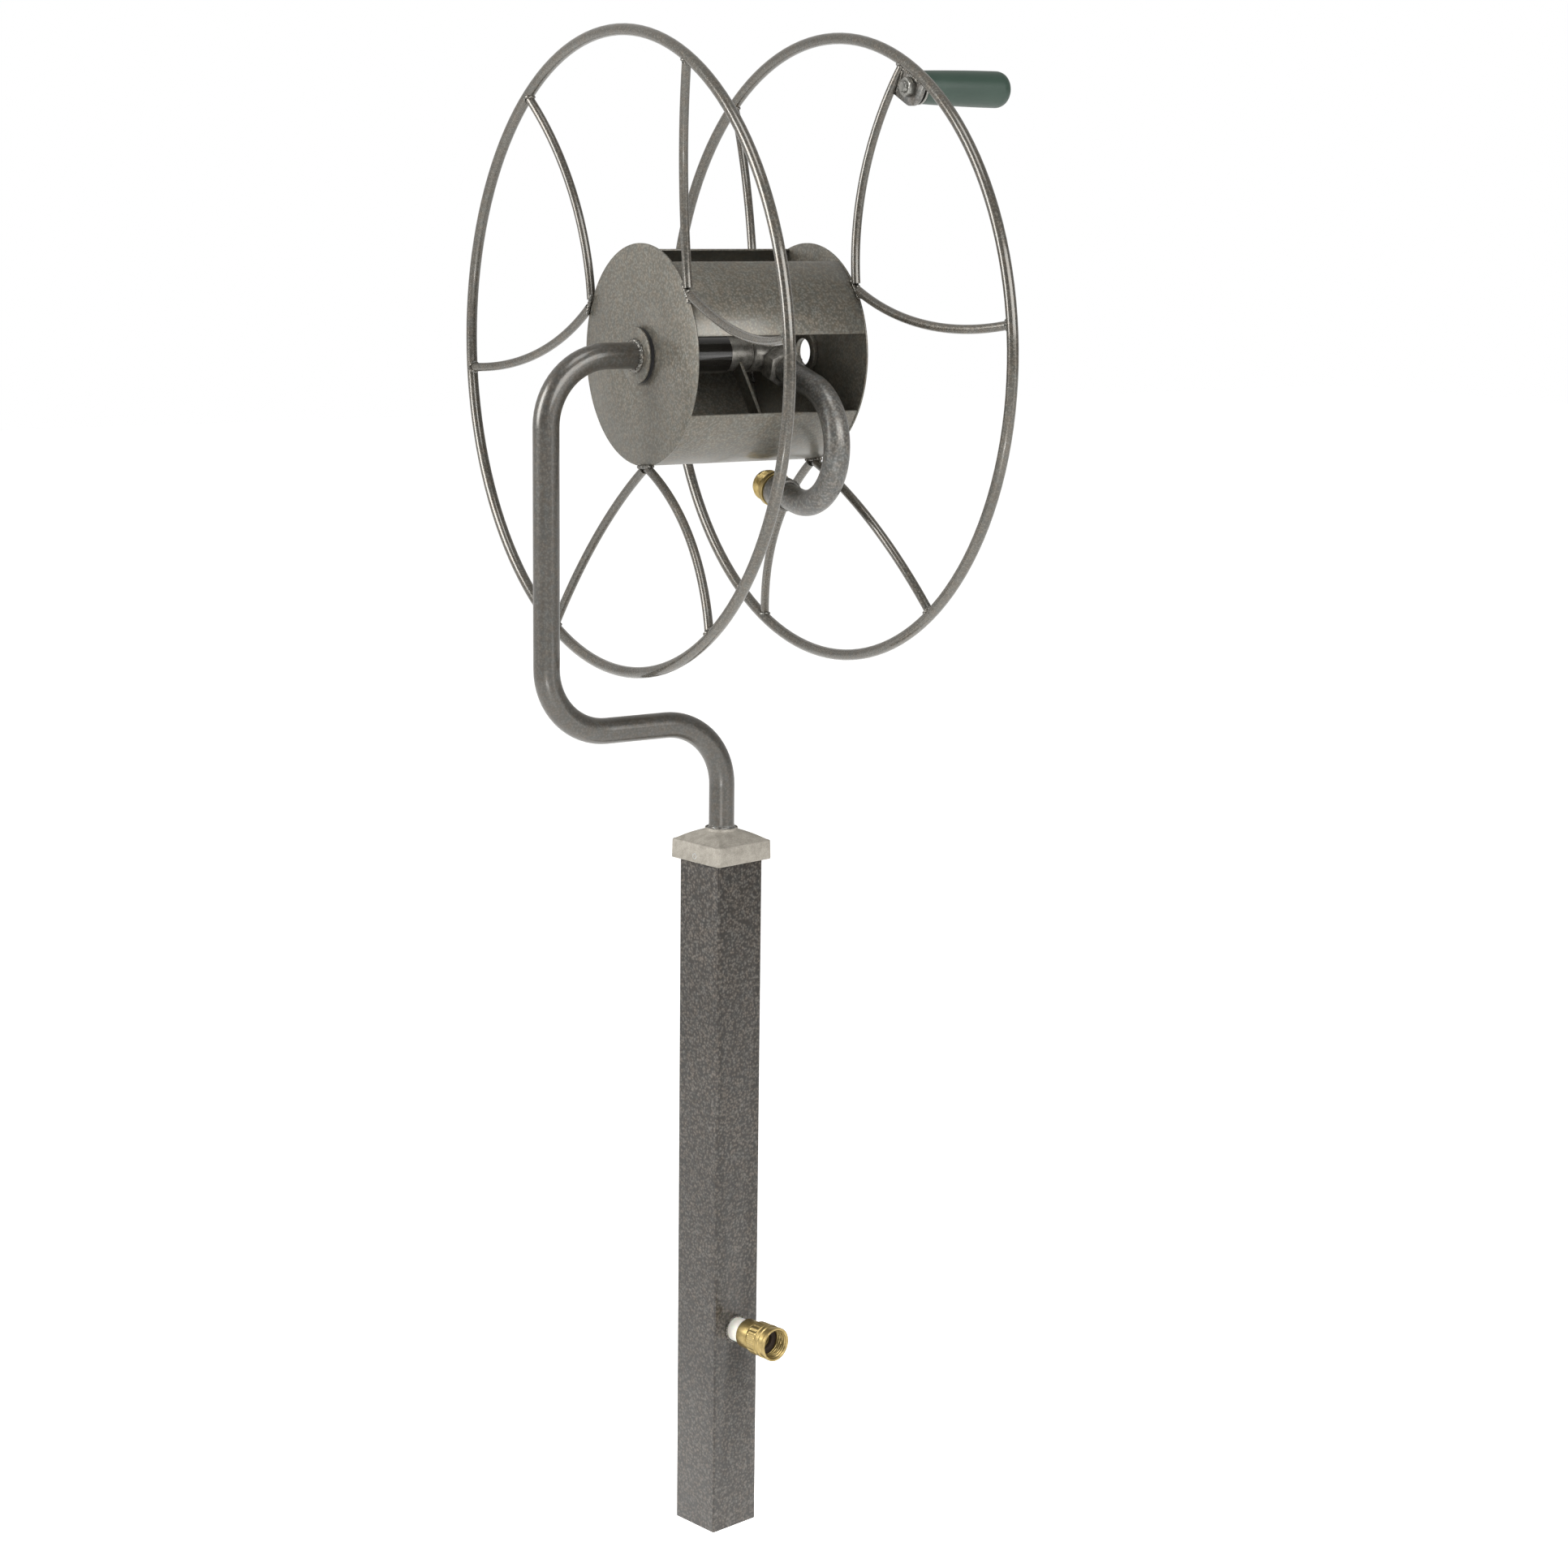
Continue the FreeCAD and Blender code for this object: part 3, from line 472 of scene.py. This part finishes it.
# ---------------------------------------------------------------- welds
def rim_weld(spoke, side):
    """A ring of weld where a spoke butts against its rim."""
    _, outer = ends_of(spoke)
    angle = polar_angle(outer)
    rim_point = at_polar(wheel_radius, angle, side * wheel_plane)
    inward = (Vector((rim_point.x, 0, reel_centre.z)) - rim_point).normalized()
    along = inward.cross(X_AXIS).normalized()
    ring_radius = spoke_rod + 0.5 * MM
    rim_surface = rim_rod + 0.3 * MM
    bead_radius = 1.25 * MM
    steps = 40
    path = []
    for index in range(steps):
        turn = 2 * math.pi * index / steps
        sideways = ring_radius * math.sin(turn)
        depth = math.sqrt(max(0.0, rim_surface ** 2 - sideways ** 2))
        path.append(rim_point + inward * depth + along * (ring_radius * math.cos(turn))
                    + X_AXIS * sideways)
    return bead(path, bead_radius, closed=True)


def fork_weld(first_spoke, second_spoke, side):
    """Weld along the drum disc's edge and in the crotch of two spokes."""
    first_tip, _ = ends_of(first_spoke)
    second_tip, _ = ends_of(second_spoke)
    angles = [polar_angle(first_tip), polar_angle(second_tip)]
    if abs(angles[0] - angles[1]) > math.pi:
        angles = [a % (2 * math.pi) for a in angles]
    centre = sum(angles) / 2
    face = side * (disc_plane - 0.2 * MM)
    half_length = math.radians(6.2)
    steps = 33
    meshes = []
    for offset, radius in ((1.6 * MM, 1.7 * MM), (-1.9 * MM, 1.4 * MM)):
        path = []
        for index in range(steps + 1):
            angle = centre + half_length * (index / steps * 2 - 1)
            path.append(at_polar(disc_radius + 0.6 * MM, angle, face + side * offset))
        meshes.append(bead(path, radius))
    crotch = [at_polar(disc_radius + (1.0 + index * 0.35) * MM, centre, face + side * 0.2 * MM)
              for index in range(12)]
    meshes.append(bead(crotch, 1.6 * MM))
    return joined(meshes)


for side_name, side in (("left", -1), ("right", 1)):
    for number in range(1, 7):
        vertices, faces = rim_weld("spoke_%s_%d" % (side_name, number), side)
        new_piece("rim_weld_%s_%d" % (side_name, number), "reel", "weld", vertices, faces)
    for fork in range(3):
        pair = ["spoke_%s_%d" % (side_name, 2 * fork + 1 + step) for step in range(2)]
        vertices, faces = fork_weld(*pair, side)
        new_piece("fork_weld_%s_%d" % (side_name, fork + 1), "reel", "weld", vertices, faces)


def make_flange_weld():
    """The bead round the pipe where the flange is welded on."""
    flange_face = Vector((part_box("arm_flange")[0][0], 0, reel_centre.z))
    path = circle_path(flange_face - X_AXIS * 0.4 * MM, X_AXIS, pipe_radius + 1.0 * MM, 110)
    vertices, faces = bead(path, 2.3 * MM, closed=True, pitch=4.0 * MM, jitter=0.2)
    new_piece("flange_weld", "arm", "weld", vertices, faces)


def make_shell_stitches():
    """Short stitches of weld inside the drum, between the rolled sheets and the side discs."""
    plane = disc_plane - 1.6 * MM
    stitch_degrees = 12
    steps = 29
    meshes = []
    for side in (-1, 1):
        for degrees in (40, 68, 135, 175, 215, 255, 295, 330):
            path = []
            for index in range(steps + 1):
                angle = math.radians(degrees - stitch_degrees / 2 + stitch_degrees * index / steps)
                path.append(at_polar(disc_radius - 2.7 * MM, angle, side * (plane - 0.5 * MM)))
            meshes.append(bead(path, 1.5 * MM))
    vertices, faces = joined(meshes)
    new_piece("drum_stitch_welds", "reel", "weld", vertices, faces)


make_flange_weld()
make_shell_stitches()


# ---------------------------------------------------------------- brass fittings
HOSE_PITCH = 2.21 * MM
HOSE_THREAD_HEIGHT = 1.15 * MM


def thread_relief(start, end, height, pitch=HOSE_PITCH):
    """A helical ridge between two places along an axis, fading out at both ends."""
    def relief(along, angle, _radius):
        if along < start or along > end:
            return 0.0
        fade = min(1.0, (along - start) / (0.5 * pitch), (end - along) / (0.5 * pitch))
        phase = (along / pitch - angle / (2 * math.pi)) % 1.0
        ridge = min(1.0, max(0.0, 1.35 - abs(phase - 0.5) * 4.4))
        return height * fade * (ridge - 0.5)
    return relief


def make_outlet_thread():
    """The male hose thread: a shoulder against the collar, then a thread with a plain lead."""
    shoulder = 15.2 * MM
    shoulder_end = 4.5 * MM
    thread_start = 6.6 * MM
    bore = 9.1 * MM
    crest = mounts["outlet"]["dims"]["r_mm"] * MM
    length = 19.5 * MM
    thread_middle = 12.0 * MM
    start = outlet_mouth - outlet_axis * thread_middle
    outline = [(0.0, bore), (0.0, shoulder), (shoulder_end, shoulder), (shoulder_end, crest - 1.0 * MM),
               (6.3 * MM, crest - 1.0 * MM), (thread_start, crest - 0.5 * MM),
               (length - 2.6 * MM, crest - 0.5 * MM), (length - 1.9 * MM, crest - 1.4 * MM),
               (length, crest - 1.4 * MM), (length, bore + 0.8 * MM), (length - 0.8 * MM, bore)]
    outline = finely(soften(outline, 0.35 * MM), 0.28 * MM)
    thread = thread_relief(thread_start, length - 2.4 * MM, HOSE_THREAD_HEIGHT)

    def relief(along, angle, radius):
        if radius < bore + 1.5 * MM or along < shoulder_end + 0.1 * MM:
            return 0.0
        return thread(along, angle, radius)

    vertices, faces = turned(outline, start, outlet_axis, 120, relief)
    piece = new_piece("outlet_thread_fitting", "reel", "brass", vertices, faces, 50)
    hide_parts("outlet_hose_thread")


make_outlet_thread()


def make_inlet_nut():
    """The swivel nut: ribbed for the hand behind, two turned rings, and a thread inside its mouth."""
    length = 24.6 * MM
    outer = size_of("inlet_swivel_nut").z / 2
    half_thread = 6.7 * MM
    mouth = Vector(mounts["inlet"]["pos_m"]) + inlet_axis * half_thread
    start = mouth - inlet_axis * length
    thread_radius = mounts["inlet"]["dims"]["r_mm"] * MM
    seat = length - 13.4 * MM
    neck = 9.7 * MM
    ribs, rib_depth = 20, 0.34 * MM
    ribs_start, ribs_end, ribs_fade = 1.3 * MM, 10.8 * MM, 0.8 * MM
    outline = [(0, neck), (0, outer - 1.6 * MM), (1.2 * MM, outer - 0.4 * MM),
               (11.0 * MM, outer - 0.4 * MM),
               (11.6 * MM, outer - 1.3 * MM), (12.6 * MM, outer - 1.3 * MM), (13.2 * MM, outer),
               (16.2 * MM, outer), (16.8 * MM, outer - 0.9 * MM), (length - 3.8 * MM, outer - 1.1 * MM),
               (length - 3.2 * MM, outer), (length, outer), (length, thread_radius + 0.9 * MM),
               (length - 1.2 * MM, thread_radius - 0.1 * MM), (seat, thread_radius - 0.1 * MM),
               (seat, thread_radius + 0.5 * MM), (4.8 * MM, thread_radius + 0.5 * MM), (4.8 * MM, neck)]
    outline = finely(soften(outline, 0.4 * MM), 0.35 * MM)
    thread = thread_relief(seat + 0.5 * MM, length - 1.0 * MM, HOSE_THREAD_HEIGHT)

    def relief(along, angle, radius):
        if radius > outer - 2.0 * MM and ribs_start < along < ribs_end:
            fade = min(1.0, (along - ribs_start) / ribs_fade, (ribs_end - along) / ribs_fade)
            return fade * rib_depth * max(-1.0, min(0.6, 1.6 * math.cos(ribs * angle)))
        if abs(radius - thread_radius) < 0.35 * MM and along > seat:
            return thread(along, angle, radius)
        return 0.0

    vertices, faces = turned(outline, start, inlet_axis, 160, relief)
    piece = new_piece("inlet_ribbed_nut", "inlet_nut", "brass", vertices, faces, 50)
    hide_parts("inlet_swivel_nut")


make_inlet_nut()


def make_inlet_hole_edge():
    """The burred, paint-chipped edge of the hole that the inlet comes out of."""
    post_face = 25.5 * MM
    hole_radius = 11.6 * MM
    face = Vector((0, 0, inlet_centre.z)) + inlet_axis * post_face
    path = circle_path(face, inlet_axis, hole_radius, 120)
    vertices, faces = bead(path, 0.8 * MM, closed=True, pitch=4.4 * MM, jitter=0.5)
    new_piece("inlet_hole_edge", "post", "weld", vertices, faces)


make_inlet_hole_edge()


# ---------------------------------------------------------------- crank grip
def make_grip():
    """A moulded grip, fuller towards its rounded end, with a parting line and a screw recess."""
    low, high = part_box("crank_grip")
    length = high[0] - low[0]
    inner, outer = 13.6 * MM, (high[2] - low[2]) / 2
    bore, recess, recess_depth = 4.81 * MM, 9.0 * MM, 9.5 * MM
    nose = 9.0 * MM
    seam_height, seam_width = 0.12 * MM, 0.35 * MM
    outline = [(0, bore)]
    outline += rounded((0, bore), (0, inner), (4 * MM, inner), 1.5 * MM)
    body = length - nose
    outline += [(body * share, inner + (outer - inner) * math.sin(share * math.pi / 2))
                for share in (0.1, 0.25, 0.4, 0.55, 0.7, 0.85)]
    for step in range(11):
        turn = math.radians(7.5 * step)
        reach = nose / math.sin(math.radians(75))
        inset = (outer - recess - 0.9 * MM) * (1 - math.cos(turn)) / 0.74
        outline.append((body + reach * math.sin(turn), outer - inset))
    outline += [(length, recess + 0.5 * MM), (length - 0.5 * MM, recess), (length - recess_depth, recess),
                (length - recess_depth, bore)]

    def relief(along, angle, radius):
        if radius < recess + 2 * MM or along < 1.5 * MM:
            return 0.0
        off_seam = min(abs(math.remainder(angle, math.pi)), math.pi) * radius
        return seam_height * math.exp(-(off_seam / seam_width) ** 2) - seam_height / 2

    place = Vector((low[0], grip_centre.y, grip_centre.z))
    vertices, faces = turned(finely(outline, 1.6 * MM), place, X_AXIS, 180, relief)
    piece = new_piece("moulded_grip", "grip", "grip", vertices, faces, 40)
    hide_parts("crank_grip")


make_grip()


# ---------------------------------------------------------------- crank fastenings
def make_handle_bolt():
    """The crank bolt: a threaded tail in the nut, a plain shank, and a hexagon head in the grip's end."""
    low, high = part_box("handle_bolt")
    radius = 4.75 * MM
    tail = 12.5 * MM
    head = high[0] - low[0] - 6.0 * MM
    end = high[0] - low[0]
    corner = 8.1 * MM
    core = 0.05 * MM
    outline = [(0, core), (0, radius - 1.1 * MM), (0.9 * MM, radius - 0.3 * MM),
               (tail, radius - 0.3 * MM), (tail + 0.6 * MM, radius), (head, radius),
               (head, corner - 0.6 * MM), (head + 0.5 * MM, corner), (end - 0.7 * MM, corner),
               (end, corner - 1.0 * MM), (end, core)]
    thread = thread_relief(0.9 * MM, tail - 1.0 * MM, 0.75 * MM, 1.5 * MM)

    def relief(along, angle, reach):
        if along > head - 0.01 * MM and reach > radius + 1.0 * MM:
            flat = math.cos(math.pi / 6) / math.cos(math.remainder(angle, math.pi / 3)) * corner
            return min(0.0, flat - reach)
        return thread(along, angle, reach) if reach > radius - 0.5 * MM else 0.0

    place = Vector((low[0], grip_centre.y, grip_centre.z))
    vertices, faces = turned(finely(outline, 0.4 * MM), place, X_AXIS, 72, relief)
    # the bolt takes the darker copy of the zinc plate
    piece = new_piece("threaded_handle_bolt", "reel", "darker_zinc", vertices, faces, 40)
    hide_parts("handle_bolt")


def make_spring_washer():
    """A split spring washer, wound a little off flat so that its two ends stand apart."""
    low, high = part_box("handle_spring_washer")
    outer, inner = (high[2] - low[2]) / 2, 5.2 * MM
    thickness = 2.0 * MM
    rise = high[0] - low[0] - thickness
    steps = 90
    split_degrees = 16
    vertices = []
    for step in range(steps + 1):
        share = step / steps
        angle = math.radians(split_degrees / 2 + (360 - split_degrees) * share)
        across_axis = Vector((0, math.cos(angle), math.sin(angle)))
        for along, radius in ((0, inner), (0, outer), (thickness, outer), (thickness, inner)):
            centre = Vector((low[0] + rise * share + along, grip_centre.y, grip_centre.z))
            vertices.append(centre + across_axis * radius)
    faces = ring_faces(steps + 1, 4, closed=False)
    faces.append((3, 2, 1, 0))
    faces.append(tuple(steps * 4 + side for side in range(4)))
    piece = new_piece("split_spring_washer", "reel", "dark_steel", vertices, faces)
    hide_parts("handle_spring_washer")


make_handle_bolt()
make_spring_washer()


def make_lug_weld():
    """Beads along the crank lug, on the rim and beside the spoke, on both faces of the plate."""
    spoke_side, rim_side = 103.6 * MM, 107.0 * MM
    bolt_angle = polar_angle(grip_centre)
    bolt_radius = math.hypot(grip_centre.y, grip_centre.z - reel_centre.z)
    _, spoke_end = ends_of("spoke_right_1")
    spoke_angle = polar_angle(spoke_end)
    rim_angle = spoke_angle + math.radians(1.0)
    rim_sweep = bolt_angle - spoke_angle + math.radians(1.6)
    rim_steps, spoke_steps = 39, 29
    meshes = []
    for face in (spoke_side - 0.3 * MM, rim_side + 0.3 * MM):
        path = [at_polar(wheel_radius - rim_rod + 0.2 * MM, rim_angle + rim_sweep * index / rim_steps, face)
                for index in range(rim_steps + 1)]
        meshes.append(bead(path, 1.3 * MM))
    beside = []
    for index in range(spoke_steps + 1):
        radius = bolt_radius - 13.0 * MM + 20.0 * MM * index / spoke_steps
        beside.append(at_polar(radius, spoke_angle + math.radians(1.15), spoke_side - 0.2 * MM))
    meshes.append(bead(beside, 1.2 * MM))
    vertices, faces = joined(meshes)
    new_piece("lug_weld", "reel", "weld", vertices, faces)


make_lug_weld()


# ---------------------------------------------------------------- cast cap
def level(angle):
    """A level unit vector."""
    return Vector((math.cos(angle), math.sin(angle), 0))


def square_ring(half, corner, height):
    """A level ring of points round a square with rounded corners, turned with the post."""
    corner_steps, side_steps = 8, 12
    quarter, eighth = math.radians(90), math.radians(45)
    to_centre = (half - corner) * math.sqrt(2)
    points = []
    for side in range(4):
        turn = quarter * side
        centre = level(turn + eighth) * to_centre
        for step in range(corner_steps + 1):
            points.append(centre + level(turn + quarter * step / corner_steps) * corner)
        end, after = points[-1], turn + quarter
        following = level(after + eighth) * to_centre + level(after) * corner
        points += [end.lerp(following, step / side_steps) for step in range(1, side_steps)]
    turn_matrix = Matrix.Rotation(post_turn, 3, "Z")
    return [turn_matrix @ point + Z_AXIS * height for point in points]


def half_side(node):
    """Half the side of a square node that is turned with the post."""
    return size_of(node).x / 2 / (math.cos(post_turn) + math.sin(post_turn))


def make_cast_cap():
    """The cast cap: a drafted skirt, a low hipped roof, and a round boss round the bush's lip."""
    low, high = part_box("post_cap")
    bottom, top = low[2], high[2]
    half = half_side("post_cap") + 0.25 * MM
    pocket = half_side("post_tube") + 0.55 * MM
    skirt_top = bottom + 17.1 * MM
    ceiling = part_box("post_tube")[1][2]
    boss = 14.4 * MM
    bore = 13.85 * MM
    eave, eave_height, eave_corner = half - 3.2 * MM, 0.35, 0.9
    roof_steps = 8
    # reach from the axis, corner radius in millimetres, height
    profile = [(pocket, 3.2, bottom + 0.4 * MM), (pocket + 0.4 * MM, 3.2, bottom),
               (half - 0.8 * MM, 2.4, bottom), (half - 0.2 * MM, 2.6, bottom + 0.25 * MM),
               (half, 2.8, bottom + 0.9 * MM), (half - 0.35 * MM, 2.6, skirt_top - 1.6 * MM),
               (half - 0.6 * MM, 2.4, skirt_top - 0.8 * MM), (half - 1.3 * MM, 2.1, skirt_top - 0.25 * MM),
               (half - 2.0 * MM, 1.8, skirt_top - 0.1 * MM), (half - 2.6 * MM, 1.3, skirt_top - 0.05 * MM),
               (eave, eave_corner, skirt_top + eave_height * MM)]
    for step in range(1, roof_steps + 1):
        share = step / roof_steps
        reach = eave + (boss + 0.7 * MM - eave) * share
        corner = eave_corner + share ** 6 * (reach / MM - eave_corner)
        rise = eave_height + 8.0 * share - 0.4 * share ** 2
        profile.append((reach, corner, skirt_top + rise * MM))
    rings = [square_ring(reach, corner * MM, height) for reach, corner, height in profile]
    # the boss is round: its corner radius is all but its whole reach
    for reach, height in ((boss, top - 0.6 * MM), (boss - 0.05 * MM, top + 1.0 * MM),
                          (boss - 0.25 * MM, top + 1.3 * MM), (bore + 0.1 * MM, top + 1.35 * MM),
                          (bore, top + 1.25 * MM), (bore, ceiling)):
        rings.append(square_ring(reach, reach - 0.01 * MM, height))
    rings.append(square_ring(pocket - 0.4 * MM, 3.0 * MM, ceiling))
    rings.append(square_ring(pocket, 3.2 * MM, ceiling - 0.4 * MM))
    vertices = [point for ring in rings for point in ring]
    faces = ring_faces(len(rings), len(rings[0]))
    piece = new_piece("cast_post_cap", "post", "cap", vertices, faces, 50)
    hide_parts("post_cap")


def make_set_screws():
    """The cap's two socket screws, each a little proud of its skirt, with a chamfered rim."""
    low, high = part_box("cap_set_screws")
    direction = level(post_turn)
    reach = half_side("post_cap") + 0.35 * MM
    core, radius, socket = 0.05 * MM, 2.95 * MM, 1.6 * MM
    outline = [(-4.0 * MM, core), (-4.0 * MM, radius), (-0.4 * MM, radius), (0, 2.5 * MM), (0, 1.9 * MM),
               (-0.3 * MM, 1.65 * MM), (-2.2 * MM, socket), (-2.3 * MM, core)]
    meshes = []
    for side in (-1, 1):
        outward = direction * side
        centre = outward * reach + Z_AXIS * (low[2] + high[2]) / 2
        meshes.append(turned(finely(outline, 0.3 * MM), centre, outward, 48))
    vertices, faces = joined(meshes)
    piece = new_piece("socket_set_screws", "post", "plated", vertices, faces)
    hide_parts("cap_set_screws")


def make_riser_flare():
    """The arm's foot ring: a small concave flare from the pipe down to the cap's boss."""
    low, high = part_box("arm_collar")
    foot = (high[0] - low[0]) / 2
    height = high[2] - low[2]
    inner = pipe_radius - 0.02 * MM
    skin = pipe_radius + 0.15 * MM
    outline = [(0, inner), (0, foot - 0.3 * MM), (0.25 * MM, foot)]
    outline += [(height * share, skin + (foot - pipe_radius - 0.15 * MM) * (1 - share) ** 5)
                for share in (0.16, 0.28, 0.42, 0.58, 0.75, 0.9)]
    outline += [(height, pipe_radius + 0.12 * MM), (height, inner)]
    vertices, faces = turned(outline, Vector((0, 0, low[2])), Z_AXIS, 96)
    # the flare takes the paler copy of the hammertone: painted light
    piece = new_piece("riser_flare", "arm", "outlet", vertices, faces, 50)
    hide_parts("arm_collar")


make_cast_cap()
make_set_screws()
make_riser_flare()

# node, body, finish, width of the eased edge in millimetres
EASED = (
    # the crank lug here and the outlet collar below take the paler copy of the hammertone: painted light
    ("handle_lug", "reel", "outlet", 0.5), ("handle_nut", "reel", "darker_zinc", 0.3),
    ("handle_washer", "reel", "darker_zinc", 0.3),
    ("swivel_bracket", "reel", "sheet", 0.4), ("gland_nut", "reel", "casting", 0.5),
    ("outlet_union_nut", "reel", "casting", 0.4), ("swivel_plug", "reel", "casting", 0.4),
    ("swivel_body", "reel", "casting", 0.5), ("arm_flange", "arm", "sheet", 0.35),
    ("outlet_collar", "reel", "outlet", 0.6), ("drum_disc_left", "reel", "sheet", 0.35),
    ("drum_disc_right", "reel", "sheet", 0.35), ("drum_shell", "reel", "sheet", 0.3),
    ("drum_front_plate", "reel", "sheet", 0.3), ("right_hub_ring", "reel", "sheet", 0.4),
    ("inlet_tailpiece", "post", "brass", 0.5), ("inlet_nipple", "post", "white_nylon", 0.3),
    ("post_tube", "post", "post", 0.3),
)
for node_name, body_name, finish_name, width in EASED:
    eased(node_name, body_name, finish_name, width * MM)


# ---------------------------------------------------------------- studio
def make_floor():
    """A wide sheet of pale paper that reads as white, and glows a little more near the object."""
    half = 12.0
    camera_lift = 0.24
    mesh = bpy.data.meshes.new("studio_floor")
    corners = [(-half, -half, 0), (half, -half, 0), (half, half, 0), (-half, half, 0)]
    mesh.from_pydata(corners, [], [(0, 1, 2, 3)])
    finish = Finish("floor_paper", Emission_Color=(1.0, 1.0, 0.99, 1.0))
    grain = finish.noise(60.0, 3.0)
    finish.colour(finish.ramp(grain, [(0.3, (0.66, 0.66, 0.655)), (0.7, (0.70, 0.70, 0.695))]))
    finish.roughness(finish.ramp(grain, [(0.3, 0.9), (0.7, 0.8)]))
    place = finish.tree.nodes.new("ShaderNodeTexCoord")
    reach = finish.tree.nodes.new("ShaderNodeVectorMath")
    reach.operation = "LENGTH"
    glow = finish.tree.nodes.new("ShaderNodeMapRange")
    for socket, value in (("From Min", 0.10), ("From Max", 0.60), ("To Min", 1.0), ("To Max", 0.55)):
        glow.inputs[socket].default_value = value
    finish.link(place.outputs["Object"], reach.inputs[0])
    finish.link(reach.outputs["Value"], glow.inputs["Value"])
    finish.link(glow.outputs["Result"], finish.shader.inputs["Emission Strength"])
    lift = finish.tree.nodes.new("ShaderNodeEmission")
    seen = finish.tree.nodes.new("ShaderNodeLightPath")
    both = finish.tree.nodes.new("ShaderNodeAddShader")
    finish.link(finish.math("MULTIPLY", seen.outputs["Is Camera Ray"], camera_lift), lift.inputs["Strength"])
    finish.link(finish.shader.outputs["BSDF"], both.inputs[0])
    finish.link(lift.outputs["Emission"], both.inputs[1])
    finish.link(both.outputs["Shader"], finish.output.inputs["Surface"])
    mesh.materials.append(finish.material)
    floor = bpy.data.objects.new("studio_floor", mesh)
    bpy.context.collection.objects.link(floor)


def make_light(name, place, target, width, height, power):
    """A rectangular area light aimed at a point."""
    light = bpy.data.lights.new(name, "AREA")
    light.shape = "RECTANGLE"
    light.size = width
    light.size_y = height
    light.energy = power
    lamp = bpy.data.objects.new(name, light)
    lamp.location = place
    lamp.rotation_euler = (Vector(target) - Vector(place)).to_track_quat("-Z", "Y").to_euler()
    bpy.context.collection.objects.link(lamp)


def make_world():
    """Soft surroundings, paler behind the object than in front, before a plain white backdrop."""
    world = bpy.data.worlds.new("studio")
    world.use_nodes = True
    tree = world.node_tree
    tree.nodes.clear()
    output = tree.nodes.new("ShaderNodeOutputWorld")
    choose = tree.nodes.new("ShaderNodeMixShader")
    seen = tree.nodes.new("ShaderNodeLightPath")
    surroundings = tree.nodes.new("ShaderNodeBackground")
    backdrop = tree.nodes.new("ShaderNodeBackground")
    direction = tree.nodes.new("ShaderNodeTexCoord")
    parts = tree.nodes.new("ShaderNodeSeparateXYZ")
    span = tree.nodes.new("ShaderNodeMapRange")
    for socket, value in (("From Min", -0.5), ("From Max", 0.8), ("To Min", 0.16), ("To Max", 0.62)):
        span.inputs[socket].default_value = value
    tree.links.new(direction.outputs["Generated"], parts.inputs["Vector"])
    tree.links.new(parts.outputs["Y"], span.inputs["Value"])
    tree.links.new(span.outputs["Result"], surroundings.inputs["Strength"])
    surroundings.inputs["Color"].default_value = (1.0, 0.985, 0.96, 1.0)
    backdrop.inputs["Color"].default_value = (1.0, 1.0, 1.0, 1.0)
    tree.links.new(seen.outputs["Is Camera Ray"], choose.inputs["Fac"])
    tree.links.new(surroundings.outputs["Background"], choose.inputs[1])
    tree.links.new(backdrop.outputs["Background"], choose.inputs[2])
    tree.links.new(choose.outputs["Shader"], output.inputs["Surface"])
    bpy.context.scene.world = world


def make_camera():
    """A long lens, a little above the reel's axis, on the arm's side of the front."""
    yaw = 0.57494
    pitch = -0.19234
    roll = 0.01262
    camera_data = bpy.data.cameras.new("camera")
    camera_data.sensor_width = 36.0
    camera_data.lens = 70.903
    camera_data.clip_start = 0.05
    camera = bpy.data.objects.new("camera", camera_data)
    camera.location = (-1.38578, -2.23797, 1.19212)
    ahead = Vector((math.sin(yaw) * math.cos(pitch), math.cos(yaw) * math.cos(pitch), math.sin(pitch)))
    level = Vector((math.cos(yaw), -math.sin(yaw), 0))
    upward = level.cross(ahead)
    right = level * math.cos(roll) + upward * math.sin(roll)
    up = upward * math.cos(roll) - level * math.sin(roll)
    camera.rotation_mode = "QUATERNION"
    camera.rotation_quaternion = Matrix((right, up, -ahead)).transposed().to_quaternion()
    bpy.context.collection.objects.link(camera)
    bpy.context.scene.camera = camera


# name, place, target, width, height, watts
LIGHTS = (
    ("key_light", (-2.3, 0.60, 1.85), (0, 0, 1.20), 1.1, 1.6, 55),
    ("front_light", (0.2, -2.6, 2.05), (0, 0, 0.95), 2.4, 1.4, 58),
    ("fill_light", (1.3, -2.9, 1.0), (0, 0, 0.8), 1.2, 1.8, 7),
    ("top_light", (-0.3, -0.8, 3.3), (0, 0, 1.0), 1.0, 1.0, 14),
    ("foot_light", (-1.1, -1.5, 0.16), (0, 0, 0.04), 0.6, 0.12, 3.0),
)
make_floor()
for light in LIGHTS:
    make_light(*light)
make_world()
make_camera()
bpy.context.scene.view_settings.view_transform = "Standard"
